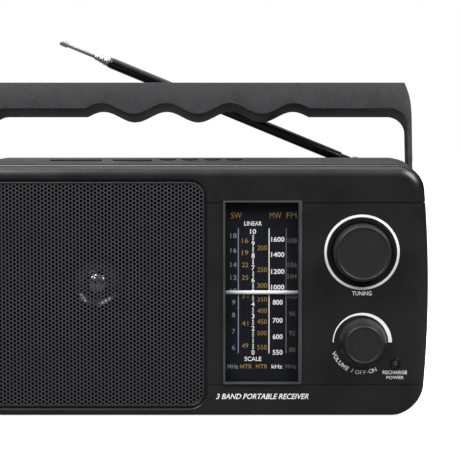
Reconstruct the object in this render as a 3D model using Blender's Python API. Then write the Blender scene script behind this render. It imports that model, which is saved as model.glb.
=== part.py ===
"""Portable three-band receiver with a carrying handle, as an assembly of separate pieces.

Lengths are in millimetres, and MM turns them into metres as each mesh is made.
X runs to the right of someone facing the dial, Y to the back and Z up.
The origin lies on the flat underside of the rear cabinet, under the middle of the set.
"""
import math

import bmesh
import bpy
from mathutils import Euler, Vector

MM = 0.001
GAP = 0.3

# Cabinet
HALF_WIDTH = 126.9
BULGE = 3.9
FRONT_Y = -39.0
SEAM_Y = -15.0
REAR_Y = 39.0
FRONT_TOP = 142.0
CROWN_RISE = 2.4
CROWN_Y = 5.0
WALL = 2.2
PANEL = 2.5
TOP_RADIUS = 14.0
BOTTOM_RADIUS = 17.0
FRONT_FILLET = 7.5
FOOT_FILLET = 1.8
REAR_FILLET = 4.0
REAR_INSIDE = REAR_Y - WALL

# Antenna shelf along the rear top edge
SHELF_Y = 28.6
SHELF_Z = 136.0

# Loudspeaker and its grille
SPEAKER_X = -56.6
SPEAKER_Z = 73.9
GRILLE_LEFT = -118.0
GRILLE_RIGHT = 4.5
GRILLE_LOW = 5.6
GRILLE_HIGH = 132.2
GRILLE_RADIUS = 8.5
GRILLE_SEAT_DEPTH = 1.6
SPEAKER_HOLE = 47.0

# Dial
DIAL_LEFT = 14.9
DIAL_RIGHT = 59.2
DIAL_LOW = 18.2
DIAL_HIGH = 121.7
DIAL_BARS = (1.2, 2.0, 1.4, 1.0)
WINDOW_LEDGE = 0.3
POINTER_Z = 69.8

# Knobs
TUNING_X = 92.8
TUNING_Z = 92.8
VOLUME_X = 93.2
VOLUME_Z = 42.0
LAMP_X = 111.7
LAMP_Z = 30.0
WELL_RADIUS = 19.5

# Dial drive, in a plane behind the scale plate
DRIVE_Y = -17.5
CORD_RADIUS = 0.35
SHAFT_WRAP = 3.0
DRUM_X = 92.5
DRUM_Z = 62.0
DRUM_WRAP = 22.0
IDLER_X = 68.0
IDLER_LOW_Z = 16.0
IDLER_HIGH_Z = 124.0
IDLER_WRAP = 4.3
GUIDE_X = 67.5
GUIDE_Y = -28.0

# Carrying handle
HANDLE_Y = 2.0
HANDLE_Z = 118.0
HANDLE_LEAN = 14.5
ARM_OUTER = 124.7
ARM_INNER = 121.9
GRIP_LOW = 54.5
GRIP_HIGH = 70.5
GRIP_DEPTH = 10.0
ARM_DEPTH = 9.0
CORNER_LOW = 45.5
CORNER_DROP = 3.9
CORNER_SWEEP = 10.0
WAVE_PITCH = 37.4
WAVE_HEIGHT = 3.2
HANDLE_EDGE = 0.8
HANDLE_PIN = 2.5
NOTCH_X = 121.3
NOTCH_FRONT = -12.4
NOTCH_REAR = 19.0
NOTCH_FLOOR = 106.0

# Antenna
ANTENNA_X = 92.8
ANTENNA_Y = 34.0
ANTENNA_Z = 141.0
ANTENNA_RISE = 22.4
TUBE_STARTS = (9.0, 20.0, 24.0, 28.0)
TUBE_ENDS = (158.0, 161.0, 164.0, 167.0)
TUBE_RADII = (3.25, 2.8, 2.35, 1.9)
TUBE_WALL = 0.25
ROD_RADIUS = 1.25
TIP_RADIUS = 1.8
TIP_START = 184.8
TIP_END = 189.6
HINGE_PIN_RADIUS = 0.7

# Top controls, on the rising front part of the rear cabinet's crown
SLOT_Y = -6.2
SLOT_DEPTH = 5.4
BAND_SLOT = (-84.9, -55.2)
FUNCTION_SLOT = (-48.5, -26.5)
SLIDER_TOP = 143.2
BUTTON_Y = -3.25
BUTTON_X = (-17.1, -4.3, 8.7, 21.4)
BUTTON_NAMES = ("previous_button", "play_button", "next_button", "mode_button")
BUTTON_RADIUS = 4.3
BOARD_LOW = 134.0
BOARD_HIGH = 135.4

# Batteries, lying end to end behind the lower rear wall
CELL_RADIUS = 17.1
CELL_LENGTH = 61.5
CELL_Y = 18.5
CELL_Z = 23.0
TRAY_LEFT = -23.5
TRAY_RIGHT = 106.7
TRAY_WALL = 1.5
DOOR_LOW = 5.5
DOOR_HIGH = 40.5

SCREW_PLACES = ((-112.0, 22.0), (112.0, 22.0), (-112.0, 122.0), (112.0, 122.0))

FINISHES = {
    "black_plastic": ((0.022, 0.022, 0.024), 0.42, 0.0),
    "grey_plastic": ((0.045, 0.045, 0.05), 0.55, 0.0),
    "satin_black": ((0.015, 0.015, 0.016), 0.3, 0.0),
    "frame_grey": ((0.13, 0.13, 0.14), 0.4, 0.0),
    "black_metal": ((0.04, 0.04, 0.045), 0.45, 1.0),
    "chrome": ((0.62, 0.62, 0.64), 0.12, 1.0),
    "steel": ((0.5, 0.5, 0.5), 0.35, 1.0),
    "copper": ((0.65, 0.3, 0.16), 0.35, 1.0),
    "dial_blue": ((0.006, 0.008, 0.02), 0.35, 0.0),
    "window": ((0.6, 0.62, 0.66), 0.05, 0.0),
    "white_plastic": ((0.75, 0.75, 0.76), 0.4, 0.0),
    "paper": ((0.04, 0.04, 0.042), 0.9, 0.0),
    "cell_jacket": ((0.08, 0.16, 0.32), 0.4, 0.0),
    "board": ((0.05, 0.2, 0.08), 0.5, 0.0),
    "ferrite": ((0.05, 0.045, 0.045), 0.6, 0.0),
    "cord": ((0.55, 0.5, 0.4), 0.8, 0.0),
    "lamp": ((0.05, 0.01, 0.01), 0.1, 0.0),
}


def clear_scene():
    for item in list(bpy.data.objects):
        bpy.data.objects.remove(item, do_unlink=True)


def finish(name):
    """Return the named finish, made the first time it is asked for."""
    made = bpy.data.materials.get(name)
    if made:
        return made
    colour, roughness, metallic = FINISHES[name]
    made = bpy.data.materials.new(name)
    made.use_nodes = True
    shader = made.node_tree.nodes["Principled BSDF"]
    shader.inputs["Base Color"].default_value = (*colour, 1.0)
    shader.inputs["Roughness"].default_value = roughness
    shader.inputs["Metallic"].default_value = metallic
    return made


# Mesh making

def join_rings(mesh, first, second):
    """Bridge two rings of vertices; a ring of one vertex is a pole."""
    count = max(len(first), len(second))
    for i in range(count):
        j = (i + 1) % count
        if len(first) == 1:
            mesh.faces.new((first[0], second[i], second[j]))
        elif len(second) == 1:
            mesh.faces.new((first[i], first[j], second[0]))
        else:
            mesh.faces.new((first[i], first[j], second[j], second[i]))


def skin(rings, closed=False):
    """Skin a solid over rings of points, capping the ends or joining them into a loop."""
    mesh = bmesh.new()
    loops = [[mesh.verts.new(point) for point in ring] for ring in rings]
    for first, second in zip(loops, loops[1:]):
        join_rings(mesh, first, second)
    if closed:
        join_rings(mesh, loops[-1], loops[0])
    else:
        for loop in (loops[0], loops[-1]):
            if len(loop) > 2:
                mesh.faces.new(loop)
    bmesh.ops.recalc_face_normals(mesh, faces=mesh.faces)
    return mesh


def add_piece(name, mesh, finish_name, origin=(0, 0, 0), tilt=(0, 0, 0), sharp=35):
    """Turn a mesh in millimetres into a named object in metres."""
    bmesh.ops.scale(mesh, vec=(MM, MM, MM), verts=mesh.verts)
    data = bpy.data.meshes.new(name)
    mesh.to_mesh(data)
    mesh.free()
    data.materials.append(finish(finish_name))
    data.shade_smooth()
    data.set_sharp_from_angle(angle=math.radians(sharp))
    piece = bpy.data.objects.new(name, data)
    piece.location = Vector(origin) * MM
    piece.rotation_euler = Euler([math.radians(angle) for angle in tilt])
    bpy.context.scene.collection.objects.link(piece)
    return piece


def helper(mesh, origin=(0, 0, 0), tilt=(0, 0, 0)):
    """A guide shape that only cuts or joins, and is not a piece itself."""
    guide = add_piece("guide", mesh, "steel", origin, tilt)
    guide.hide_render = True
    guide.display_type = "WIRE"
    return guide


def combine(piece, guide, operation="DIFFERENCE"):
    change = piece.modifiers.new("combine", "BOOLEAN")
    change.operation = operation
    change.solver = "EXACT"
    change.object = guide


def slab(low, high):
    """A block between two corners."""
    (x0, y0, z0), (x1, y1, z1) = low, high
    rings = [[(x0, y, z0), (x1, y, z0), (x1, y, z1), (x0, y, z1)] for y in (y0, y1)]
    return skin(rings)


def prism(outline, front, back):
    """An outline in X and Z pushed along Y."""
    return skin([[(x, y, z) for x, z in outline] for y in (front, back)])


def turned(profile, axis="Y", steps=24, closed=False, centre=(0, 0, 0)):
    """Turn a profile of (radius, place along the axis) about an axis through centre."""
    rings = []
    for radius, along in profile:
        ring = []
        for i in range(steps if radius > 0 else 1):
            angle = 2 * math.pi * i / steps
            a = radius * math.cos(angle)
            b = radius * math.sin(angle)
            place = {"X": (along, a, b), "Y": (a, along, b), "Z": (a, b, along)}[axis]
            ring.append(tuple(c + p for c, p in zip(centre, place)))
        rings.append(ring)
    return skin(rings, closed)


def rod(radius, start, end, axis="Y", steps=20, centre=(0, 0, 0)):
    return turned(((0, start), (radius, start), (radius, end), (0, end)), axis, steps, centre=centre)


def collar(inner, outer, start, end, axis="Y", steps=24, centre=(0, 0, 0)):
    profile = ((inner, start), (outer, start), (outer, end), (inner, end))
    return turned(profile, axis, steps, True, centre)


def rounded_rectangle(left, right, low, high, radius, steps=6):
    points = []
    corners = (
        (right - radius, low + radius, -90),
        (right - radius, high - radius, 0),
        (left + radius, high - radius, 90),
        (left + radius, low + radius, 180),
    )
    for x, z, start in corners:
        for i in range(steps + 1):
            angle = math.radians(start + 90 * i / steps)
            points.append((x + radius * math.cos(angle), z + radius * math.sin(angle)))
    return points


# Cabinet

def crown_height(y):
    """Height of the top: level at the front, then rising in a curve behind the seam."""
    rise = min(max((y - SEAM_Y) / (CROWN_Y - SEAM_Y), 0.0), 1.0)
    return FRONT_TOP + CROWN_RISE * rise * (2 - rise)


def crown_slope(y):
    """Slope of the rising part of the top, in degrees."""
    run = CROWN_Y - SEAM_Y
    return math.degrees(math.atan(2 * CROWN_RISE * (1 - (y - SEAM_Y) / run) / run))


def cabinet_ring(y, inset=0.0, foot_inset=None):
    """The cabinet's outline at depth y: round corners, barrel sides and an arched top."""
    top = crown_height(y) - inset
    low = inset if foot_inset is None else foot_inset
    half = HALF_WIDTH - inset
    foot = max(BOTTOM_RADIUS - inset, 3.0)
    head = max(TOP_RADIUS - inset, 3.0)
    corner_steps = 5
    side_steps = 4
    quarter = []
    for i in range(corner_steps + 1):
        angle = math.radians(-90 + 90 * i / corner_steps)
        quarter.append((half - foot + foot * math.cos(angle), low + foot + foot * math.sin(angle)))
    for i in range(1, side_steps):
        share = i / side_steps
        quarter.append((half, (low + foot) * (1 - share) + (top - head) * share))
    for i in range(corner_steps + 1):
        angle = math.radians(90 * i / corner_steps)
        quarter.append((half - head + head * math.cos(angle), top - head + head * math.sin(angle)))
    outline = quarter + [(-x, z) for x, z in reversed(quarter)]
    middle = FRONT_TOP / 2
    swell = BULGE / HALF_WIDTH
    return [(x * (1 + swell * (1 - ((z - middle) / middle) ** 2)), y, z) for x, z in outline]


def front_cabinet():
    rings = []
    for i in range(5):
        angle = math.radians(90 * i / 4)
        rings.append(cabinet_ring(FRONT_Y + FRONT_FILLET * (1 - math.cos(angle)),
                                  FRONT_FILLET * (1 - math.sin(angle)),
                                  FOOT_FILLET * (1 - math.sin(angle))))
    rings.append(cabinet_ring(SEAM_Y))
    rings.append(cabinet_ring(SEAM_Y, WALL))
    rings.append(cabinet_ring(FRONT_Y + FRONT_FILLET, WALL))
    rings.append(cabinet_ring(FRONT_Y + PANEL, FRONT_FILLET, FOOT_FILLET + WALL))
    cabinet = add_piece("front_cabinet", skin(rings), "black_plastic", sharp=30)
    outside = FRONT_Y - 6
    inside = FRONT_Y + 6
    seat = rounded_rectangle(GRILLE_LEFT - 0.6, GRILLE_RIGHT + 0.6, GRILLE_LOW - 0.6,
                             GRILLE_HIGH + 0.6, GRILLE_RADIUS + 0.6)
    combine(cabinet, helper(prism(seat, outside, FRONT_Y + GRILLE_SEAT_DEPTH)))
    combine(cabinet, helper(rod(SPEAKER_HOLE, outside, inside, steps=40, centre=(SPEAKER_X, 0, SPEAKER_Z))))
    left, right, low, high = dial_opening(WINDOW_LEDGE)
    combine(cabinet, helper(slab((left, outside, low), (right, inside, high))))
    well = ((0, outside), (WELL_RADIUS, outside), (WELL_RADIUS, FRONT_Y), (WELL_RADIUS - 2, FRONT_Y + 1.2),
            (0, FRONT_Y + 1.2))
    combine(cabinet, helper(turned(well, steps=32, centre=(TUNING_X, 0, TUNING_Z))))
    for x, z, radius in ((TUNING_X, TUNING_Z, 3.6), (VOLUME_X, VOLUME_Z, 5.0), (LAMP_X, LAMP_Z, 2.3)):
        combine(cabinet, helper(rod(radius, outside, inside, centre=(x, 0, z))))


def dial_opening(margin=0.0):
    """Inner edges of the dial frame, moved in by the margin."""
    bar_left, bar_right, bar_low, bar_high = DIAL_BARS
    return (DIAL_LEFT + bar_left + margin, DIAL_RIGHT - bar_right - margin,
            DIAL_LOW + bar_low + margin, DIAL_HIGH - bar_high - margin)


def notch(side, grow=0.0):
    """The space in a top corner of the rear cabinet where a handle arm stands."""
    inner = side * (NOTCH_X - grow)
    outer = side * 145.0
    return slab((min(inner, outer), NOTCH_FRONT - grow, NOTCH_FLOOR - grow),
                (max(inner, outer), NOTCH_REAR + grow, 160.0))


def rear_cabinet():
    levels = (SEAM_Y + GAP, -10.0, -5.0, 0.0, CROWN_Y, SHELF_Y - 4)
    rings = [cabinet_ring(y) for y in levels]
    for i in range(4):
        angle = math.radians(90 * i / 3)
        rings.append(cabinet_ring(REAR_Y - REAR_FILLET * (1 - math.sin(angle)),
                                  REAR_FILLET * (1 - math.cos(angle))))
    cabinet = add_piece("rear_cabinet", skin(rings), "black_plastic", sharp=30)

    hollow_rings = [cabinet_ring(y, WALL) for y in (SEAM_Y - 2, -9.9, -4.9, 0.1, CROWN_Y, SHELF_Y - 4)]
    hollow_rings.append(cabinet_ring(REAR_Y - REAR_FILLET, WALL))
    hollow_rings.append(cabinet_ring(REAR_INSIDE, WALL + 1.5))
    hollow = helper(skin(hollow_rings))
    for side in (-1, 1):
        combine(hollow, helper(notch(side, WALL)))
    combine(hollow, helper(slab((-160, SHELF_Y - WALL, SHELF_Z - WALL), (160, 60, 170))))
    combine(cabinet, hollow)

    for side in (-1, 1):
        combine(cabinet, helper(notch(side)))
        pin_hole = sorted((side * 112.0, side * 123.0))
        combine(cabinet, helper(rod(HANDLE_PIN + GAP, *pin_hole, "X", centre=(0, HANDLE_Y, HANDLE_Z))))
    combine(cabinet, helper(slab((-160, SHELF_Y, SHELF_Z), (160, 60, 170))))
    combine(cabinet, helper(rod(3.4, 125, 150, "Z", centre=(ANTENNA_X, ANTENNA_Y, 0))))
    for left, right in (BAND_SLOT, FUNCTION_SLOT):
        combine(cabinet, helper(slab((left, SLOT_Y - SLOT_DEPTH / 2, BOARD_HIGH),
                                     (right, SLOT_Y + SLOT_DEPTH / 2, 150))))
    for x in BUTTON_X:
        place, tilt = button_frame(x)
        combine(cabinet, helper(rod(BUTTON_RADIUS + 0.35, -6, 6, "Z"), place, tilt))
    combine(cabinet, helper(slab((TRAY_LEFT - 0.5, 30, DOOR_LOW), (TRAY_RIGHT + 0.5, 50, DOOR_HIGH))))
    combine(cabinet, helper(slab((104.0, 30, 54.0), (119.0, 50, 65.0))))
    for x, z in SCREW_PLACES:
        bore = ((0, 30), (1.9, 30), (1.9, REAR_Y - 1.2), (3.6, REAR_Y - 1.2), (3.6, 50), (0, 50))
        combine(cabinet, helper(turned(bore, steps=16, centre=(x, 0, z))))


def case_screws():
    """Screws through the rear wall, each with a cross recess in a low pan head."""
    for number, (x, z) in enumerate(SCREW_PLACES, 1):
        head = REAR_Y - 1.2 + GAP
        profile = ((0, 20), (0.6, 20), (1.5, 22.5), (1.5, head), (3.1, head), (3.1, head + 0.5),
                   (2.3, head + 0.8), (0, head + 0.8))
        screw = add_piece(f"case_screw_{number}", turned(profile, steps=16, centre=(x, 0, z)), "steel")
        for wide, tall in ((1.5, 0.35), (0.35, 1.5)):
            combine(screw, helper(slab((x - wide, head + 0.3, z - tall), (x + wide, head + 3, z + tall))))


# Front pieces

def speaker_grille():
    outline = rounded_rectangle(GRILLE_LEFT, GRILLE_RIGHT, GRILLE_LOW, GRILLE_HIGH, GRILLE_RADIUS)
    add_piece("speaker_grille", prism(outline, FRONT_Y + 0.5, FRONT_Y + 1.3), "black_metal")


def dial_frame():
    bar = add_piece("dial_frame", slab((DIAL_LEFT, FRONT_Y - 1.2, DIAL_LOW),
                                       (DIAL_RIGHT, FRONT_Y - GAP, DIAL_HIGH)), "frame_grey")
    left, right, low, high = dial_opening()
    combine(bar, helper(slab((left, FRONT_Y - 4, low), (right, FRONT_Y + 4, high))))


def dial_window():
    left, right, low, high = dial_opening(WINDOW_LEDGE + GAP)
    add_piece("dial_window", slab((left, FRONT_Y + 0.1, low), (right, FRONT_Y + 1.6, high)), "window")


def dial_scale_plate():
    add_piece("dial_scale_plate", slab((13.0, -34.7, 15.0), (61.3, -33.7, 125.0)), "dial_blue")


def dial_pointer():
    """A horizontal bar in front of the plate, with an arm to the cord and a block on the guide rod."""
    bar = slab((15.3, -36.1, POINTER_Z - 1.05), (63.0, -35.1, POINTER_Z + 1.05))
    pointer = add_piece("dial_pointer", bar, "white_plastic")
    arm = slab((61.9, -36.0, POINTER_Z - 2), (63.1, DRIVE_Y + 1.5, POINTER_Z + 2))
    combine(pointer, helper(arm), "UNION")
    block = slab((62.0, GUIDE_Y - 2.5, POINTER_Z - 3), (70.0, GUIDE_Y + 2.5, POINTER_Z + 3))
    combine(pointer, helper(block), "UNION")
    bore = rod(1.3, POINTER_Z - 9, POINTER_Z + 9, "Z", 16, centre=(GUIDE_X, GUIDE_Y, 0))
    combine(pointer, helper(bore))
    guide = rod(1.0, WALL + 0.5, FRONT_TOP - WALL - 0.5, "Z", 16, centre=(GUIDE_X, GUIDE_Y, 0))
    add_piece("pointer_guide_rod", guide, "steel")


def tuning_knob():
    front = -51.5
    back = FRONT_Y + 0.6
    profile = ((0, front + 4.0), (3.3, front + 4.0), (3.3, back), (16.2, back), (16.4, back - 1.0),
               (15.4, front + 1.2), (14.8, front + 0.2), (14.2, front), (13.2, front + 0.5), (0, front + 0.9))
    add_piece("tuning_knob", turned(profile, steps=28), "satin_black", origin=(TUNING_X, 0, TUNING_Z))
    shaft = ((0, front + 4.4), (3.0, front + 4.4), (3.0, DRIVE_Y - 2.5), (2.6, DRIVE_Y - 2.5),
             (2.6, DRIVE_Y + 3.0), (3.0, DRIVE_Y + 3.0), (3.0, -13.2), (0, -13.2))
    add_piece("tuning_shaft", turned(shaft), "steel", origin=(TUNING_X, 0, TUNING_Z))


def volume_knob():
    front = -53.0
    back = FRONT_Y - 0.5
    outside = ((13.7, back), (13.7, back - 1.2), (10.9, front + 0.8), (10.3, front), (9.3, front + 0.3))
    profile = ((0, front + 4.5), (3.3, front + 4.5), (3.3, back)) + outside + ((0, front + 0.6),)
    add_piece("volume_knob", turned(profile, steps=24), "satin_black", origin=(VOLUME_X, 0, VOLUME_Z))
    shaft = ((0, front + 4.9), (3.0, front + 4.9), (3.0, -28.4), (0, -28.4))
    add_piece("volume_shaft", turned(shaft), "steel", origin=(VOLUME_X, 0, VOLUME_Z))
    case = ((0, -24.0), (8.5, -24.0), (8.5, -33.5), (4.5, -33.5), (4.5, -38.2), (3.3, -38.2), (3.3, -28.0),
            (0, -28.0))
    add_piece("volume_control", turned(case, centre=(VOLUME_X, 0, VOLUME_Z)), "steel")


def power_lamp():
    profile = ((0, -30.0), (2.5, -30.0), (2.5, -35.6), (2.0, -35.6), (2.0, -38.6), (1.4, -39.1), (0, -39.3))
    add_piece("power_lamp", turned(profile, steps=20, centre=(LAMP_X, 0, LAMP_Z)), "lamp")


# Loudspeaker

def loudspeaker():
    centre = (SPEAKER_X, 0, SPEAKER_Z)
    basket = ((51.0, -36.1), (51.0, -34.6), (46.0, -34.6), (34.0, -14.0), (31.0, -12.2), (16.0, -12.2),
              (16.0, -13.4), (30.0, -13.4), (32.8, -15.0), (44.8, -36.1))
    add_piece("speaker_frame", turned(basket, steps=28, closed=True, centre=centre), "steel")
    magnet = ((0, -11.8), (27.0, -11.8), (27.0, -9.0), (30.0, -9.0), (30.0, 0.0), (27.0, 0.0), (27.0, 2.5),
              (0, 2.5))
    add_piece("speaker_magnet", turned(magnet, steps=20, centre=centre), "ferrite")
    cone = ((43.4, -35.6), (43.4, -35.0), (41.6, -34.4), (40.0, -34.6), (14.6, -19.6), (13.9, -20.2),
            (39.4, -35.2), (41.6, -35.9))
    add_piece("speaker_cone", turned(cone, steps=28, closed=True, centre=centre), "paper")
    cap = ((0, -21.6), (13.0, -21.6), (13.2, -22.4), (11.4, -24.4), (8.2, -26.2), (4.2, -27.2), (0, -27.5))
    add_piece("speaker_dust_cap", turned(cap, steps=20, centre=centre), "chrome")


# Dial drive

def main_board():
    plate = slab((66.5, -12.4, 6.0), (117.0, -10.8, 134.0))
    board = add_piece("main_circuit_board", plate, "board")
    combine(board, helper(rod(2.2, -20, 0, steps=16, centre=(DRUM_X, 0, DRUM_Z))))
    case = add_piece("tuning_capacitor", slab((DRUM_X - 10.5, -10.4, DRUM_Z - 10.5),
                                              (DRUM_X + 10.5, 0.5, DRUM_Z + 10.5)), "white_plastic")
    combine(case, helper(rod(1.8, -20, -4, steps=16, centre=(DRUM_X, 0, DRUM_Z))))


def cord_drum():
    rim = DRUM_WRAP + 1.2
    floor = DRUM_WRAP - 0.7
    profile = ((0, DRIVE_Y - 2.0), (rim, DRIVE_Y - 2.0), (rim, DRIVE_Y - 1.1), (floor, DRIVE_Y - 1.1),
               (floor, DRIVE_Y + 1.1), (rim, DRIVE_Y + 1.1), (rim, DRIVE_Y + 2.0), (1.5, DRIVE_Y + 2.0),
               (1.5, -5.0), (0, -5.0))
    add_piece("cord_drum", turned(profile, steps=28), "white_plastic", origin=(DRUM_X, 0, DRUM_Z))


def idler_pulleys():
    rim = IDLER_WRAP + 0.7
    floor = IDLER_WRAP - 0.7
    profile = ((1.3, DRIVE_Y - 2.0), (rim, DRIVE_Y - 2.0), (rim, DRIVE_Y - 1.1), (floor, DRIVE_Y - 0.8),
               (floor, DRIVE_Y + 0.8), (rim, DRIVE_Y + 1.1), (rim, DRIVE_Y + 2.0), (1.3, DRIVE_Y + 2.0))
    pin = ((0, -22.0), (1.9, -22.0), (1.9, -21.4), (1.0, -21.4), (1.0, -12.8), (0, -12.8))
    for place, z in (("upper", IDLER_HIGH_Z), ("lower", IDLER_LOW_Z)):
        wheel = turned(profile, steps=14, closed=True)
        add_piece(f"{place}_idler_pulley", wheel, "white_plastic", origin=(IDLER_X, 0, z))
        add_piece(f"{place}_idler_pin", turned(pin, steps=16, centre=(IDLER_X, 0, z)), "steel")


def tangent_angle(first, second):
    """Where a cord running anticlockwise leaves one wheel for the next, as an angle about the wheel."""
    (x1, z1, r1), (x2, z2, r2) = first[:3], second[:3]
    length = math.hypot(x2 - x1, z2 - z1)
    return math.atan2(z2 - z1, x2 - x1) - math.acos((r1 - r2) / length)


def dial_cord():
    """One closed loop round the idlers, the drum and the tuning shaft, stepping back as it winds."""
    wheels = ((IDLER_X, IDLER_HIGH_Z, IDLER_WRAP, 0.0), (IDLER_X, IDLER_LOW_Z, IDLER_WRAP, 0.0),
              (DRUM_X, DRUM_Z, DRUM_WRAP, 0.0), (TUNING_X, TUNING_Z, SHAFT_WRAP + 0.3, 1.6))
    route = []
    for i, wheel in enumerate(wheels):
        arrive = tangent_angle(wheels[i - 1], wheel)
        leave = tangent_angle(wheel, wheels[(i + 1) % len(wheels)])
        sweep = (leave - arrive) % (2 * math.pi)
        steps = max(2, math.ceil(sweep / math.radians(24)))
        for step in range(steps + 1):
            angle = arrive + sweep * step / steps
            route.append((wheel[0] + wheel[2] * math.cos(angle), DRIVE_Y + wheel[3] * step / steps,
                          wheel[1] + wheel[2] * math.sin(angle)))
    data = bpy.data.curves.new("dial_cord", "CURVE")
    data.dimensions = "3D"
    data.bevel_depth = CORD_RADIUS * MM
    data.bevel_resolution = 1
    spline = data.splines.new("POLY")
    spline.points.add(len(route) - 1)
    for point, place in zip(spline.points, route):
        point.co = (*(Vector(place) * MM), 1.0)
    spline.use_cyclic_u = True
    data.materials.append(finish("cord"))
    bpy.context.scene.collection.objects.link(bpy.data.objects.new("dial_cord", data))


# Carrying handle

def handle_stations():
    """Outer and inner edge points with the half depth, from the right arm's foot to the grip's middle."""
    stations = []
    for drop in (0.0, 30.0, 60.0, 90.0):
        z = -ARM_DEPTH * math.cos(math.radians(drop))
        depth = max(ARM_DEPTH * math.sin(math.radians(drop)), 0.3 * ARM_DEPTH)
        stations.append(((ARM_OUTER, z), (ARM_INNER, z), depth))
    for z in (12.0, 26.0, 38.0):
        stations.append(((ARM_OUTER, z), (ARM_INNER, z), arm_depth(z)))
    bend_steps = 6
    for i in range(bend_steps + 1):
        share = i / bend_steps
        angle = math.radians(90 * share)
        outer = (ARM_OUTER - CORNER_DROP * share ** 3, CORNER_LOW + (GRIP_HIGH - CORNER_LOW) * share)
        inner = (ARM_INNER - CORNER_SWEEP * (1 - math.cos(angle)),
                 GRIP_LOW - CORNER_SWEEP * (1 - math.sin(angle)))
        stations.append((outer, inner, arm_depth((outer[1] + inner[1]) / 2)))
    wave_end = 1.75 * WAVE_PITCH
    straight = [ARM_INNER - CORNER_SWEEP - 7.0, 88.0, 72.0]
    wave_steps = 23
    for x in straight + [wave_end * (1 - i / wave_steps) for i in range(wave_steps + 1)]:
        low = GRIP_LOW
        if x <= wave_end:
            low -= WAVE_HEIGHT * math.cos(2 * math.pi * x / WAVE_PITCH)
        stations.append(((x, GRIP_HIGH), (x, low), GRIP_DEPTH))
    return stations


def arm_depth(z):
    """Half depth of the handle at height z above the pivot, widening smoothly into the grip."""
    share = min(max((z - 30.0) / 26.0, 0.0), 1.0)
    return ARM_DEPTH + (GRIP_DEPTH - ARM_DEPTH) * share * share * (3 - 2 * share)


def handle_ring(outer, inner, depth):
    """Eight corners of the handle's section, a rectangle with its four corners cut off."""
    across = Vector(inner) - Vector(outer)
    step = across.normalized() * HANDLE_EDGE
    cut = HANDLE_EDGE
    high = Vector(outer)
    low = Vector(inner)
    corners = ((high + step, -depth), (high, cut - depth), (high, depth - cut), (high + step, depth),
               (low - step, depth), (low, depth - cut), (low, cut - depth), (low - step, -depth))
    return [(edge.x, y, edge.y) for edge, y in corners]


def carry_handle():
    half = handle_stations()
    whole = half + [((-o[0], o[1]), (-n[0], n[1]), depth) for o, n, depth in reversed(half[:-1])]
    rings = [handle_ring(*station) for station in whole]
    pivot = (0, HANDLE_Y, HANDLE_Z)
    handle = add_piece("carry_handle", skin(rings), "grey_plastic", origin=pivot, tilt=(-HANDLE_LEAN, 0, 0),
                       sharp=40)
    combine(handle, helper(rod(HANDLE_PIN + GAP, -135, 135, "X", centre=pivot)))
    head = ARM_OUTER + GAP
    profile = ((0, 117.5), (HANDLE_PIN, 117.5), (HANDLE_PIN, head), (4.6, head), (4.6, head + 1.0),
               (3.6, head + 1.6), (0, head + 1.6))
    for side, word in ((-1, "left"), (1, "right")):
        sided = [(radius, side * along) for radius, along in profile]
        add_piece(f"handle_pin_{word}", turned(sided, "X", 20, centre=pivot), "satin_black")


# Antenna

def antenna():
    base = ((0, 130.0), (3.1, 130.0), (3.1, SHELF_Z + GAP), (4.2, SHELF_Z + GAP), (4.2, SHELF_Z + 1.2),
            (3.4, SHELF_Z + 1.6), (3.4, 143.4), (2.6, 144.8), (0, 145.4))
    shifted = [(radius, along - ANTENNA_Z) for radius, along in base]
    pivot = (ANTENNA_X, ANTENNA_Y, ANTENNA_Z)
    fork = add_piece("antenna_fork", turned(shifted, "Z"), "chrome", origin=pivot)
    combine(fork, helper(slab((-8, -1.45, -3.0), (8, 1.45, 9)), origin=pivot))
    combine(fork, helper(rod(HINGE_PIN_RADIUS + 0.25, -8, 8, steps=16), origin=pivot))
    add_piece("antenna_hinge_pin", rod(HINGE_PIN_RADIUS, -2.7, 2.7, steps=16), "steel", origin=pivot)

    tilt = (0, ANTENNA_RISE - 90, 0)
    lug_radius = TUBE_RADII[0] - TUBE_WALL - GAP
    blank = ((0, -2.6), (1.6, -2.2), (2.4, -1.0), (lug_radius, 0), (lug_radius, 16), (0, 16))
    lug = add_piece("antenna_lug", turned(blank, "Z"), "chrome", origin=pivot, tilt=tilt)
    for side in (-1, 1):
        flat = sorted((side * 1.15, side * 6))
        combine(lug, helper(slab((-6, flat[0], -6), (6, flat[1], 6.0)), origin=pivot, tilt=tilt))
    combine(lug, helper(rod(HINGE_PIN_RADIUS + GAP, -6, 6, steps=16), origin=pivot, tilt=tilt))

    for number in range(4):
        outer = TUBE_RADII[number]
        tube = collar(outer - TUBE_WALL, outer, TUBE_STARTS[number], TUBE_ENDS[number], "Z", 16)
        add_piece(f"antenna_tube_{number + 1}", tube, "chrome", origin=pivot, tilt=tilt)
    tip = ((0, 32.0), (1.4, 32.0), (1.4, 46.0), (ROD_RADIUS, 47.0), (ROD_RADIUS, TIP_START),
           (TIP_RADIUS, TIP_START), (TIP_RADIUS, TIP_END - 0.8), (TIP_RADIUS - 0.6, TIP_END), (0, TIP_END))
    add_piece("antenna_rod", turned(tip, "Z", 16), "chrome", origin=pivot, tilt=tilt)


# Top controls

def button_frame(x):
    """Place and tilt of a push button, square to the sloping top."""
    return (x, BUTTON_Y, crown_height(BUTTON_Y)), (crown_slope(BUTTON_Y), 0, 0)


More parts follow.
